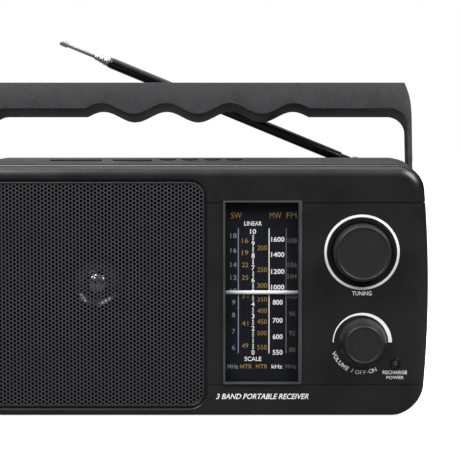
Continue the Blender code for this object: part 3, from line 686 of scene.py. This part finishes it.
def front_cabinet():
    rings = front_rings()
    rings.append(cabinet_ring(SEAM_Y - 0.5))
    rings.append(cabinet_ring(SEAM_Y, 0.4, 0.4))
    rings.append(cabinet_ring(SEAM_Y, WALL))
    rings.append(cabinet_ring(FRONT_Y + FRONT_FILLET, WALL))
    rings.append(cabinet_ring(FRONT_Y + PANEL, FRONT_FILLET, FOOT_FILLET + WALL))
    cabinet = add_object("front_cabinet_moulding", skin(rings), "cabinet")

    seat_gap = 1.3
    seat = ((seat_gap + 6.4, FRONT_Y - 6), (seat_gap + 0.4, FRONT_Y), (seat_gap, FRONT_Y + 0.4),
            (seat_gap, FRONT_Y + 1.6))
    left, right, low, high = FRAME_LOW.x + 1.5, FRAME_HIGH.x - 2.3, FRAME_LOW.z + 1.7, FRAME_HIGH.z - 1.3
    well = [(0, FRONT_Y - 9), (WELL_RADIUS + 8, FRONT_Y - 9), (WELL_RADIUS, FRONT_Y)]
    for angle in quarter_turn(8)[1:]:
        well.append((WELL_RADIUS - 3.4 * math.sin(angle), FRONT_Y + WELL_DEPTH * (1 - math.cos(angle))))
    well.append((0, FRONT_Y + WELL_DEPTH))
    tools = [
        tool(skin([grille_ring(grow, y, 10) for grow, y in seat])),
        front_hole(SPEAKER_HOLE, SPEAKER, 96),
        tool(slab((left, FRONT_Y - 6, low), (right, FRONT_Y + 6, high))),
        # The dished well round the tuning knob takes the near-black inner plastic as painted shade.
        tool(turned(well, centre=on_front(TUNING), steps=96), material="inner"),
        front_hole(3.6, TUNING),
        front_hole(5.0, VOLUME),
        flared_hole(2.2, LAMP, 0.3),
    ]
    for height in GROOVE_HEIGHTS:
        tools.append(groove(slab((GROOVE_LEFT, -60, height - 0.35), (160, SEAM_Y + 5, height + 0.35))))
    tools.append(groove(slab((-160, -36.1, -5), (160, -35.4, 150))))
    carve(cabinet, tools)
    even_shading(cabinet)
    settle(cabinet, "cabinet", ["front_cabinet"])


def notch(side, grow=0.0):
    inner = side * (NOTCH_X - grow)
    outer = side * 145.0
    return slab((min(inner, outer), NOTCH_FRONT - grow, NOTCH_FLOOR - grow),
                (max(inner, outer), NOTCH_REAR + grow, 160.0))


def rear_cabinet():
    levels = [SEAM_Y + 0.3 + 20.0 * i / 8 for i in range(9)] + [SHELF_Y - 4]
    rings = [cabinet_ring(SEAM_Y + 0.3, 0.4, 0.4)] + [cabinet_ring(y + 0.5) for y in levels]
    for angle in quarter_turn(7):
        rings.append(cabinet_ring(REAR_Y - REAR_FILLET * (1 - math.sin(angle)),
                                  REAR_FILLET * (1 - math.cos(angle))))
    cabinet = add_object("rear_cabinet_moulding", skin(rings), "rear")
    hollow_rings = [cabinet_ring(y, WALL) for y in (SEAM_Y - 2, -10.0, -5.0, 0.0, CROWN_Y, SHELF_Y - 4)]
    hollow_rings.append(cabinet_ring(REAR_Y - REAR_FILLET, WALL))
    hollow_rings.append(cabinet_ring(REAR_Y - WALL, WALL + 1.5))
    hollow = tool(skin(hollow_rings))
    shelf_wall = slab((-160, SHELF_Y - WALL, SHELF_Z - WALL), (160, 60, 170))
    carve(hollow, [tool(notch(-1, WALL)), tool(notch(1, WALL)), tool(shelf_wall)])
    tools = [hollow, tool(notch(-1)), tool(notch(1)), tool(slab((-160, SHELF_Y, SHELF_Z), (160, 60, 170)))]
    for side, word in ((-1, "left"), (1, "right")):
        place = centre_mm(f"handle_pin_{word}")
        start, end = sorted((side * 112.0, side * 123.0))
        tools.append(tool(rod(HANDLE_BORE, start, end, "X", centre=(0, place.y, place.z))))
    tools.append(tool(rod(3.4, 125, 150, "Z", centre=(HINGE_PIN.x, HINGE_PIN.y, 0))))
    # The switch slots' walls take the near-black inner plastic as painted shade.
    for word in ("band", "function"):
        low, high = box_mm(f"{word}_switch")
        tools.append(tool(slot_cutter(low.x + 1, high.x - 1), material="inner"))
    # The button mouths take the near-black inner plastic as painted shade.
    for word in BUTTONS:
        mouth = ((0, -6), (4.65, -6), (4.65, -0.35), (4.95, 0.05), (9.9, 5), (0, 5))
        tools.append(tool(turned(mouth, "Z", 48), *button_frame(word), "inner"))
    for node, gap in (("battery_door", 0.35), ("mains_inlet", 0.4)):
        low, high = box_mm(node)
        tools.append(tool(slab((low.x - gap, 30, low.z - gap), (high.x + gap, 50, high.z + gap))))
    for number in range(1, 5):
        place = centre_mm(f"case_screw_{number}")
        bore = ((0, 30), (1.9, 30), (1.9, REAR_Y - 1.2), (3.6, REAR_Y - 1.2), (3.6, REAR_Y - 0.4),
                (4.0, REAR_Y), (9, 45), (0, 45))
        tools.append(tool(turned(bore, steps=40, centre=on_front(place))))
    for i in range(9):
        z = 62.0 + 6.0 * i
        tools.append(tool(slab((-100, REAR_Y - 1.1, z), (-14, 50, z + 2.2))))
    carve(cabinet, tools)
    even_shading(cabinet)
    settle(cabinet, "cabinet", ["rear_cabinet"])


def slot_cutter(left, right):
    """A switch slot with small corner radii and an edge softened along the sloping top."""
    rings = []
    for grow, rise in ((0.0, -6.0), (0.0, -0.35), (0.35, 0.05), (5.3, 5.0)):
        outline = rounded_rectangle(left - grow, right + grow, SLOT_Y - 2.7 - grow, SLOT_Y + 2.7 + grow,
                                    0.8 + grow, 6)
        rings.append([(x, y, crown_height(y) + rise) for x, y in outline])
    return skin(rings)


# Loudspeaker grille

def grille():
    """Enamelled sheet with a hexagonal pattern of round holes inside a rolled rim."""
    pitch = 2.29
    column = 1.98
    hole = 0.87
    front = GRILLE_LOW.y
    thickness = 0.45
    margin = 0.8
    left, right = GRILLE_LOW.x + margin, GRILLE_HIGH.x - margin
    low, high = GRILLE_LOW.z + margin, GRILLE_HIGH.z - margin
    radius = GRILLE_RADIUS - margin
    mesh = bmesh.new()
    corners = {}

    def corner(x, z, y):
        key = (round(x * 50), round(z * 50), y)
        if key not in corners:
            corners[key] = mesh.verts.new((x, y, z))
        return corners[key]

    def inside(x, z):
        dx = max(left + radius - x, x - right + radius, 0)
        dz = max(low + radius - z, z - high + radius, 0)
        return left < x < right and low < z < high and math.hypot(dx, dz) < radius

    around = ((2, 0), (1, 1), (-1, 1), (-2, 0), (-1, -1), (1, -1))
    hexagon = [(column * a / 3, pitch * b / 2) for a, b in around]
    columns = int((right - left) / column) + 2
    rows = int((high - low) / pitch) + 2
    for i in range(-columns // 2, columns // 2 + 1):
        for j in range(-rows // 2, rows // 2 + 1):
            x = (left + right) / 2 + i * column
            z = (low + high) / 2 + (j + 0.5 * (i % 2)) * pitch
            if not inside(x, z):
                continue
            rim = [corner(x + dx, z + dz, front) for dx, dz in hexagon]
            mouth, back = [], []
            for k in range(12):
                angle = math.radians(30 * k)
                px, pz = x + hole * math.cos(angle), z + hole * math.sin(angle)
                mouth.append(mesh.verts.new((px, front, pz)))
                back.append(mesh.verts.new((px, front + thickness, pz)))
            for k in range(6):
                m = 2 * k
                mesh.faces.new((rim[k], mouth[m], mouth[m + 1], mouth[(m + 2) % 12], rim[(k + 1) % 6]))
            for k in range(12):
                n = (k + 1) % 12
                mesh.faces.new((mouth[k], back[k], back[n], mouth[n]))
    bmesh.ops.recalc_face_normals(mesh, faces=mesh.faces)
    piece("grille_perforated_sheet", mesh, "grille", "cabinet", ["speaker_grille"], sharp=50, slot="grille")
    # The rolled rim is near black, as painted shade for the gap between the sheet and the cabinet.
    profile = [(0.0, front + 0.8), (0.0, front + 0.35)]
    for angle in quarter_turn(5)[1:]:
        profile.append((0.45 * (1 - math.cos(angle)), front + 0.35 - 0.4 * math.sin(angle)))
    profile += [(0.8, front - 0.05), (0.95, front + 0.05), (0.95, front + 0.8)]
    rings = [grille_ring(-inset, y) for inset, y in profile]
    piece("grille_rolled_rim", skin(rings, closed=True), "rim", "cabinet", slot="grille")
    # A near-black sheet behind the grille stands for the shade in the cavity behind the holes; its hole
    # leaves the dust cap in view.
    lining_hole = tool(rod(30.0, -50, -20, steps=96, centre=on_front(SPEAKER)))
    piece("grille_felt_lining", skin([grille_ring(-1.3, y) for y in (-37.62, -37.42)]), "shade_felt", "cabinet",
          slot="paper", cuts=[lining_hole])


def speaker_dome():
    """The loudspeaker's dark shiny dust cap: a dome in a dished ring, behind the perforated sheet."""
    low, high = box_mm("speaker_dust_cap")
    back = high.y - 0.1
    top = low.y + 0.3
    centre = on_front(SPEAKER)
    dome = [(0, back), (8.0, back), (8.0, back - 0.6)]
    for i in range(11):
        radius = 7.8 * (1 - i / 10)
        dome.append((radius, top + 9.5 - math.sqrt(9.5 ** 2 - radius ** 2)))
    piece("speaker_dust_dome", turned(dome, centre=centre), "cap", "cabinet", ["speaker_dust_cap"],
          slot="dust_cap")
    ring = [(8.1, back), (12.9, back), (12.9, top + 2.2), (12.5, top + 2.2)]
    for i in range(1, 9):
        share = i / 8
        ring.append((12.5 - 4.4 * share, top + 2.2 + 2.0 * math.sin(math.radians(90 * share))))
    piece("speaker_dust_ring", turned(ring, closed=True, centre=centre), "cap_ring", "cabinet",
          slot="dust_cap")


# Dial

class Lettering:
    """Collects printed text and lines of one ink, then makes one thin mesh of them."""

    def __init__(self, name, material, y, slot):
        self.name, self.material, self.y, self.slot = name, material, y, slot
        self.mesh = bmesh.new()

    def text(self, words, x, z, cap, span=None, weight=0.0, slant=0.0, turn=0.0):
        """Centre words on (x, z) with capitals of height cap, squeezed or stretched to span millimetres."""
        curve = bpy.data.curves.new("text", "FONT")
        curve.body = words
        curve.size = cap / CAP_SHARE * MM
        curve.align_x = "CENTER"
        curve.offset = weight * MM
        curve.shear = slant
        curve.extrude = 0.01 * MM
        curve.resolution_u = 3
        holder = placed("text", curve)
        flat = evaluated_mesh(holder)
        edges = [vertex.co.x for vertex in flat.vertices]
        middle = (max(edges) + min(edges)) / 2
        width = span * MM / (max(edges) - min(edges)) if span else 1.0
        place = (Matrix.Translation(Vector((x, self.y, z)) * MM) @ Matrix.Rotation(math.radians(turn), 4, "Y")
                 @ Matrix.Rotation(math.radians(90), 4, "X") @ Matrix.Diagonal((width, 1, 1, 1))
                 @ Matrix.Translation((-middle, -cap / 2 * MM, 0)))
        flat.transform(place)
        bpy.data.objects.remove(holder)
        self.absorb(flat)

    def bar(self, left, right, low, high):
        part = slab((left, self.y - 0.01, low), (right, self.y + 0.01, high))
        bmesh.ops.scale(part, vec=(MM, MM, MM), verts=part.verts)
        flat = bpy.data.meshes.new("bar")
        part.to_mesh(flat)
        part.free()
        self.absorb(flat)

    def absorb(self, flat):
        self.mesh.from_mesh(flat)
        bpy.data.meshes.remove(flat)

    def ring_piece(self, inner, outer, centre, start=0.0, end=360.0, steps=120):
        """A printed ring or arc; inner and outer give the edge radius at an angle in degrees."""
        count = steps if end - start >= 360 else steps + 1
        rows = []
        for i in range(count):
            angle = start + (end - start) * i / steps
            c, s = math.cos(math.radians(angle)), math.sin(math.radians(angle))
            row = []
            for radius in (inner(angle), outer(angle)):
                x, z = centre.x + radius * c, centre.z + radius * s
                row += [self.mesh.verts.new(Vector((x, y, z)) * MM) for y in (self.y - 0.01, self.y + 0.01)]
            rows.append(row)
        pairs = list(zip(rows, rows[1:]))
        if end - start >= 360:
            pairs.append((rows[-1], rows[0]))
        else:
            for row in (rows[0], rows[-1]):
                self.mesh.faces.new((row[0], row[1], row[3], row[2]))
        for a, b in pairs:
            self.mesh.faces.new((a[0], b[0], b[2], a[2]))
            self.mesh.faces.new((a[1], a[3], b[3], b[1]))
            self.mesh.faces.new((a[0], a[1], b[1], b[0]))
            self.mesh.faces.new((a[2], b[2], b[3], a[3]))

    def done(self):
        bmesh.ops.recalc_face_normals(self.mesh, faces=self.mesh.faces)
        data = bpy.data.meshes.new(self.name)
        self.mesh.to_mesh(data)
        self.mesh.free()
        data.materials.append(MATERIALS[self.material])
        settle(placed(self.name, data), "cabinet")


def dial_print():
    """Generic frequency scales for three bands, with a plain 0 to 10 scale between them."""
    y = PLATE_LOW.y - 0.03
    # The leftmost column's blue-white ink and the rightmost column's gold ink are darkened as painted shade
    # where the window frame shades the dial's sides.
    white, pale, gold, dim = (Lettering(f"dial_print_{word}", f"print_{word}", y, "dial_plate")
                              for word in ("white", "pale", "gold", "dim"))
    cap = 2.6

    def height(value):
        """Height of a place on the linear scale of 0 to 10."""
        return SCALE_MIDDLE + SCALE_HALF * (value - 5) / 5

    linear = 31.8
    for value in range(11):
        white.text(str(value), linear, height(value), cap, 3.4 if value == 10 else None, 0.05)
    for value in range(10):
        white.bar(linear - 0.2, linear + 0.2, height(value) + 1.75, height(value + 1) - 1.75)
        for tenth in (3.5, 5.0, 6.5):
            z = height(value + tenth / 10)
            white.bar(linear - 0.6, linear + 0.6, z - 0.1, z + 0.1)
    short = ((18, 9.65), (16, 8.45), (14, 7.25), (12, 6.2), (10, 5.1), (9, 4.15), (8, 3.1), (7, 1.75),
             (6, 0.4))
    short_metres = (16, 9.25), (19, 8.25), (22, 7.25), (25, 6.2), (31, 4.7), (41, 2.4), (49, 0.55)
    medium_metres = ((200, 8.65), (250, 6.85), (300, 5.55), (350, 4.4), (400, 3.45), (450, 2.55), (500, 1.6),
                     (550, 0.42))
    medium = ((1600, 9.35), (1400, 8.1), (1200, 6.7), (1000, 5.4), (800, 4.15), (700, 2.65), (600, 1.3),
              (550, 0.0))
    high = (108, 9.25), (106, 7.25), (104, 6.3), (100, 4.65), (96, 3.2), (92, 1.6), (88, 0.22)
    for table, x, layer, weight in ((short, 20.8, pale, 0.0), (short_metres, 27.3, gold, 0.0),
                                    (medium_metres, 36.9, gold, 0.0), (medium, 45.7, white, 0.08),
                                    (high, 53.9, dim, 0.03)):
        digit = DIGIT_WIDTHS[layer.material.removeprefix("print_")]
        for number, value in table:
            span = digit * len(str(number))
            layer.text(str(number), x, height(value), cap, span, weight)
    for x, layer in ((23.5, pale), (40.8, white), (50.4, dim)):
        layer.bar(x - 0.27, x + 0.27, 35.3, 106.0)
    for words, x, span in (("SW", 22.4, 6.0), ("MW", 44.4, 6.6), ("FM", 53.4, 5.6)):
        gold.text(words, x, SCALE_MIDDLE + 43.3, 3.3, span)
    white.text("LINEAR", linear, SCALE_MIDDLE + 38.7, 2.3, 10.0, 0.05)
    white.text("SCALE", linear, SCALE_MIDDLE - 37.9, 2.3, 9.6, 0.05)
    units = (("MHz", 20.4, 6.1, pale), ("MTR", 27.9, 6.8, gold), ("MTR", 36.7, 6.6, gold),
             ("kHz", 45.3, 6.0, white), ("MHz", 53.2, 6.1, dim))
    for words, x, span, layer in units:
        layer.text(words, x, 27.8, 2.3, span, 0.03)
    for layer in (white, pale, gold, dim):
        layer.done()


def dial():
    outer = (FRAME_LOW.x, FRAME_HIGH.x, FRAME_LOW.z, FRAME_HIGH.z)
    inner = (FRAME_LOW.x + 1.2, FRAME_HIGH.x - 2.0, FRAME_LOW.z + 1.4, FRAME_HIGH.z - 1.0)
    face, back = FRAME_LOW.y, FRAME_HIGH.y
    profile = [(0.0, back), (0.0, face + 0.35), (0.08, face + 0.12), (0.22, face), (0.75, face),
               (0.92, face + 0.12), (1.0, face + 0.35), (1.0, back)]
    piece("dial_frame_moulding", framed(outer, inner, profile, 1.0), "frame", "cabinet", ["dial_frame"],
          slot="dial_frame")
    dial_pointer()
    dial_print()


def dial_pointer():
    """A half-round bar, painted white with painted shade darkening its ends, with a carrier arm and block
    behind the panel.
    """
    z = (POINTER_LOW.z + POINTER_HIGH.z) / 2
    rings = []
    for x in (POINTER_LOW.x, POINTER_LOW.x + 0.3, 61.9, 63.0):
        shrink = 0.8 if x == POINTER_LOW.x else 1.0
        ring = []
        for i in range(13):
            angle = math.radians(180 * i / 12)
            y = POINTER_LOW.y + 1.0 - 0.95 * shrink * math.sin(angle)
            ring.append((x, y, z - 1.1 * shrink * math.cos(angle)))
        rings.append(ring)
    bar = add_object("dial_pointer_bar", skin(rings), "pointer")
    arm = tool(slab((61.9, POINTER_LOW.y + 0.1, z - 2), (63.1, POINTER_HIGH.y, z + 2)))
    block = tool(slab((62.0, -30.5, z - 3), (70.0, -25.5, z + 3)))
    carve(bar, [tool(rod(1.3, z - 9, z + 9, "Z", 32, centre=(67.5, -28.0, 0)))], joins=(arm, block))
    settle(bar, "pointer", ["dial_pointer"])


# Knobs and printing on the front

def knob(word, place, bore, back, skirt, crown, rounding, dish):
    """A turned cap with a dished front. The skirt's places are measured forward from the back edge and
    the crown's back from the front; the dish is its radius, the depth of its edge and its own depth."""
    front = box_mm(f"{word}_knob")[0].y
    profile = [(0, front + bore), (3.3, front + bore), (3.3, back)]
    profile += [(radius, back - y) for radius, y in skirt]
    profile += [(radius, front + y) for radius, y in crown]
    profile = rounded(profile, rounding)
    radius, edge, depth = dish
    for angle in quarter_turn(12)[:-1]:
        profile.append((radius * math.cos(angle), front + edge + depth * math.sin(angle)))
    profile.append((0, front + edge + depth))
    piece(f"{word}_knob_cap", turned(profile, steps=96), "knob", word, [f"{word}_knob"],
          origin=on_front(place), slot="knobs", sharp=40)


def knobs():
    knob("tuning", TUNING, 4.0, FRONT_Y + 0.6, ((16.2, 0), (16.4, 1.4)),
         ((15.55, 1.3), (15.1, 0.2), (14.5, 0)), 0.35, (14.0, 0.15, 0.75))
    knob("volume", VOLUME, 4.5, FRONT_Y - 0.5, ((13.7, 0), (13.7, 1.6)),
         ((11.1, 1.2), (10.6, 0.2), (9.9, 0)), 0.4, (9.5, 0.12, 0.5))


def panel_print():
    """Plain function words and rings printed on the front panel."""
    layer = Lettering("panel_print_white", "print_white", FRONT_Y - 0.02, "cabinet")
    layer.ring_piece(lambda a: 19.75, lambda a: 21.15, TUNING)
    layer.ring_piece(lambda a: 15.3 - 0.8 * math.cos(math.radians(a)), lambda a: 16.65, VOLUME, 0, 180)
    layer.text("TUNING", TUNING.x, TUNING.z - 23.1, 2.2, 10.9, 0.06)
    words = "VOLUME / OFF-ON"
    shares = [LETTER_WIDTHS.get(letter, 1.0) for letter in words]
    start, end, radius = -162.0, -62.0, 17.0
    travelled = 0.0
    for letter, share in zip(words, shares):
        angle = start + (end - start) * (travelled + share / 2) / sum(shares)
        travelled += share
        if letter != " ":
            x = VOLUME.x + radius * math.cos(math.radians(angle))
            z = VOLUME.z + radius * math.sin(math.radians(angle))
            layer.text(letter, x, z, 2.2, weight=0.05, turn=-(angle + 90))
    layer.text("RECHARGE", 111.6, 25.0, 1.9, 13.8, 0.03)
    layer.text("POWER", 111.7, 22.1, 1.7, 9.8, 0.03)
    layer.text("3 BAND PORTABLE RECEIVER", 37.0, 11.4, 2.9, 52.0, 0.06, slant=0.3)
    layer.done()


def lamp():
    """The indicator's domed lens in a thin bezel."""
    profile = [(0, -30.0), (2.05, -30.0), (2.05, -38.4)]
    for angle in quarter_turn(8)[1:-1]:
        profile.append((2.05 * math.cos(angle), -38.4 - 0.8 * math.sin(angle)))
    profile.append((0, -38.4 - 0.8))
    piece("power_lamp_lens", turned(profile, steps=40, centre=on_front(LAMP)), "lamp", "cabinet",
          ["power_lamp"], slot="lamp")
    ring = rounded(((2.25, FRONT_Y + 0.2), (2.25, FRONT_Y - 0.35), (3.0, FRONT_Y - 0.35),
                    (3.15, FRONT_Y - 0.02)), 0.2)
    piece("power_lamp_bezel", turned(ring, steps=48, closed=True, centre=on_front(LAMP)), "button",
          "cabinet", slot="cabinet")


# Carrying handle

def arm_depth(z):
    """Half depth of the handle at height z above the pivot, widening smoothly into the grip."""
    share = min(max((z - 30.0) / 26.0, 0.0), 1.0)
    return ARM_DEPTH + (GRIP_DEPTH - ARM_DEPTH) * share * share * (3 - 2 * share)


def handle_stations():
    """Outer edge, inner edge and half depth along the handle, from the right arm's foot to the middle."""
    stations = []
    for angle in quarter_turn(12):
        z = -ARM_DEPTH * math.cos(angle)
        stations.append(((ARM_OUTER, z), (ARM_INNER, z), max(ARM_DEPTH * math.sin(angle), 0.9)))
    for z in (6, 12, 18, 24, 30, 36, 41):
        stations.append(((ARM_OUTER, z), (ARM_INNER, z), arm_depth(z)))
    for i in range(25):
        share = i / 24
        angle = math.radians(90 * share)
        outer = (ARM_OUTER - CORNER_DROP * share ** 3, CORNER_LOW + (GRIP_HIGH - CORNER_LOW) * share)
        inner = (ARM_INNER - CORNER_SWEEP * (1 - math.cos(angle)),
                 GRIP_LOW - CORNER_SWEEP * (1 - math.sin(angle)))
        stations.append((outer, inner, arm_depth((outer[1] + inner[1]) / 2)))
    wave_end = 1.75 * WAVE_PITCH
    for i in range(6):
        x = 106.0 - (106.0 - wave_end - 1.0) * i / 5
        stations.append(((x, GRIP_HIGH), (x, GRIP_LOW), GRIP_DEPTH))
    for i in range(105):
        x = wave_end * (1 - i / 104)
        low = GRIP_LOW - WAVE_HEIGHT * math.cos(2 * math.pi * x / WAVE_PITCH)
        stations.append(((x, GRIP_HIGH), (x, low), GRIP_DEPTH))
    return stations


def handle_ring(outer, inner, depth):
    """The handle's section: a rectangle with rounded corners."""
    across = Vector(inner) - Vector(outer)
    cut = min(0.5, 0.3 * across.length, depth * 0.6)
    step = across.normalized() * cut
    ring = []
    for edge, way, side in ((Vector(outer), 1, -1), (Vector(outer), 1, 1), (Vector(inner), -1, 1),
                            (Vector(inner), -1, -1)):
        centre = edge + step * way
        for i in range(5):
            t = i / 4 if side * way > 0 else 1 - i / 4
            angle = math.radians(90 * (1 - t))
            along = centre - step * way * math.sin(angle)
            ring.append((along.x, side * (depth - cut + cut * math.cos(angle)), along.y))
    return ring


def carry_handle():
    half = handle_stations()
    whole = half + [((-o[0], o[1]), (-n[0], n[1]), depth) for o, n, depth in reversed(half[:-1])]
    rings = [handle_ring(*station) for station in whole]
    origin = (0, HANDLE_PIVOT.y, HANDLE_PIVOT.z)
    piece("carry_handle_moulding", skin(rings), "handle", "handle", ["carry_handle"], origin,
          (-HANDLE_LEAN, 0, 0), 40, "handle", [tool(rod(HANDLE_BORE, -135, 135, "X", centre=origin))])
    profile = rounded(((0, 117.5), (2.5, 117.5), (2.5, 125.0), (4.6, 125.0), (4.6, 126.0), (3.8, 126.6),
                       (0, 126.6)), 0.3)
    for side, word in ((-1, "left"), (1, "right")):
        sided = [(radius, side * along) for radius, along in profile]
        near, far = sorted((side * 126.1, side * 130))
        driver_slot = slab((near, origin[1] - 2.4, origin[2] - 0.4), (far, origin[1] + 2.4, origin[2] + 0.4))
        piece(f"handle_pin_{word}_cap", turned(sided, "X", 40, centre=origin), "button", "cabinet",
              [f"handle_pin_{word}"], slot="knobs", cuts=[tool(driver_slot)])


# Antenna

def antenna():
    pivot = tuple(HINGE_PIN)
    tilt = (0, ANTENNA_RISE - 90, 0)
    base = rounded(((0, -11), (3.1, -11), (3.1, -4.7), (4.2, -4.7), (4.2, -3.8), (3.4, -3.4), (3.4, 2.4),
                    (2.6, 3.8), (0, 4.4)), 0.4)
    jaw = [tool(slab((-8, -1.45, -3.0), (8, 1.45, 9)), pivot), tool(rod(0.95, -8, 8, steps=24), pivot)]
    piece("antenna_fork_turned", turned(base, "Z", 48), "chrome", "antenna_swivel", ["antenna_fork"], pivot,
          slot="antenna", cuts=jaw)
    pin = rounded(((0, -2.9), (0.7, -2.9), (0.7, 2.9), (0, 2.9)), 0.2)
    piece("antenna_hinge_rivet", turned(pin, steps=24), "steel", "antenna_swivel", ["antenna_hinge_pin"],
          pivot, slot="steel")
    blank = rounded(((0, -2.6), (1.6, -2.2), (2.4, -1.0), (2.7, 0), (2.7, 16), (0, 16)), 0.3)
    flats = []
    for side in (-1, 1):
        near, far = sorted((side * 1.15, side * 6))
        flats.append(tool(slab((-6, near, -6), (6, far, 6.0)), pivot, tilt))
    flats.append(tool(rod(1.0, -6, 6, steps=24), pivot, tilt))
    piece("antenna_lug_turned", turned(blank, "Z", 40), "dark_chrome", "antenna_base_section",
          ["antenna_lug"], pivot, tilt, slot="antenna", cuts=flats)

    bodies = ("antenna_base_section", "antenna_section_2", "antenna_section_3", "antenna_section_4")
    for number, (start, end, outer, body) in enumerate(zip(TUBE_STARTS, TUBE_ENDS, TUBE_RADII, bodies), 1):
        bore = outer - TUBE_WALL
        lip = rounded(((bore, start), (outer, start), (outer, end - 1.6), (outer - 0.16, end - 1.2),
                       (outer - 0.16, end - 0.8), (outer - 0.02, end - 0.4), (bore, end)), 0.15)
        material = "dark_chrome" if number == 1 else "silver"
        piece(f"antenna_tube_{number}_drawn", turned(lip, "Z", 48, closed=True), material, body,
              [f"antenna_tube_{number}"], pivot, tilt, slot="antenna")
    tip = rounded(((0, 32.0), (1.4, 32.0), (1.4, 46.0), (1.25, 47.0), (1.25, 184.5), (1.8, 184.8),
                   (1.8, 188.8), (1.2, 189.6), (0, 189.6)), 0.3)
    piece("antenna_tip_rod", turned(tip, "Z", 32), "silver", "antenna_tip_section", ["antenna_rod"], pivot,
          tilt, slot="antenna")


# Top controls

def top_controls():
    for word in BUTTONS:
        profile = rounded(((0, -4.3), (1.6, -4.3), (1.6, -3.5), (5.3, -3.5), (5.3, -2.75), (4.3, -2.75),
                           (4.3, -0.6), (4.1, -0.35), (3.8, -0.35)), 0.25)
        for i in range(1, 11):
            share = 1 - i / 10
            profile.append((3.8 * share, -0.35 - 0.1 * (1 - share * share)))
        piece(f"{word}_button_cap", turned(profile, "Z", 48), "button", word, [f"{word}_button"],
              *button_frame(word), slot="knobs")
    for word in ("band", "function"):
        low, high = box_mm(f"{word}_slider")
        place = (low + high) / 2
        origin = (place.x, place.y, 0)
        cap = add_object(f"{word}_slider_cap", slab((-4.2, -2.2, high.z - 1.6), (4.2, 2.2, high.z)), "button",
                         origin)
        grooves = [tool(slab((-2.9 + 1.4 * i, -4, high.z - 0.5), (-2.3 + 1.4 * i, 4, 150)), origin)
                   for i in range(5)]
        carve(cap, grooves)
        soften(cap, 0.2)
        settle(cap, f"{word}_selector", [f"{word}_slider"])
        stem = piece(f"{word}_slider_stem", slab((-2.2, -0.6, low.z), (2.2, 0.6, high.z - 1.55)), "button",
                     f"{word}_selector", origin=origin, slot="knobs")
        soften(stem, 0.1)


def soften(target, width):
    bevel = target.modifiers.new("soften", "BEVEL")
    bevel.width = width * MM
    bevel.segments = 3
    bevel.limit_method = "ANGLE"
    bevel.angle_limit = math.radians(35)


# Rear pieces

def rear_pieces():
    low, high = box_mm("battery_door")
    door = add_object("battery_door_moulding", slab(tuple(low), tuple(high)), "rear")
    soften(door, 0.35)
    middle = (low.x + high.x) / 2
    ribs = [middle + 4 * i for i in range(-4, 5)]
    carve(door, [tool(slab((x - 0.9, high.y - 0.8, high.z - 9), (x + 0.9, 50, high.z - 4))) for x in ribs])
    settle(door, "battery_cover", ["battery_door"])
    head = REAR_Y - 0.9
    for number in range(1, 5):
        place = centre_mm(f"case_screw_{number}")
        profile = rounded(((0, 20), (0.6, 20), (1.5, 22.5), (1.5, head), (3.1, head), (3.1, head + 0.5),
                           (2.3, head + 0.8), (0, head + 0.8)), 0.2)
        cross = [tool(slab((place.x - wide, head + 0.3, place.z - tall),
                           (place.x + wide, head + 3, place.z + tall)))
                 for wide, tall in ((1.5, 0.35), (0.35, 1.5))]
        piece(f"case_screw_{number}_turned", turned(profile, steps=32, centre=on_front(place)), "steel",
              "cabinet", [f"case_screw_{number}"], slot="steel", cuts=cross)


INNER_FINISHES = {
    "steel": ("pointer_guide_rod", "tuning_shaft", "volume_shaft", "volume_control", "battery_spring",
              "battery_contact", "upper_idler_pin", "lower_idler_pin", "power_transformer"),
    "speaker_paint": ("speaker_frame",),
    "ferrite": ("speaker_magnet", "ferrite_rod"),
    "paper": ("speaker_cone",),
    "board": ("main_circuit_board", "player_board"),
    "white": ("tuning_capacitor", "cord_drum", "upper_idler_pulley", "lower_idler_pulley"),
    "jacket": ("battery_left", "battery_right"),
    "copper": ("ferrite_coil",),
    "cord": ("dial_cord",),
    "inner": ("battery_tray", "band_switch", "function_switch", "mains_inlet"),
    "plate": ("dial_scale_plate",),
    "window": ("dial_window",),
}


def finish_inner_nodes():
    for material, nodes in INNER_FINISHES.items():
        for name in nodes:
            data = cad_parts[name].data
            data.materials.clear()
            data.materials.append(MATERIALS[material])


camera_and_light()
front_cabinet()
rear_cabinet()
grille()
speaker_dome()
dial()
knobs()
panel_print()
lamp()
carry_handle()
antenna()
top_controls()
rear_pieces()
finish_inner_nodes()
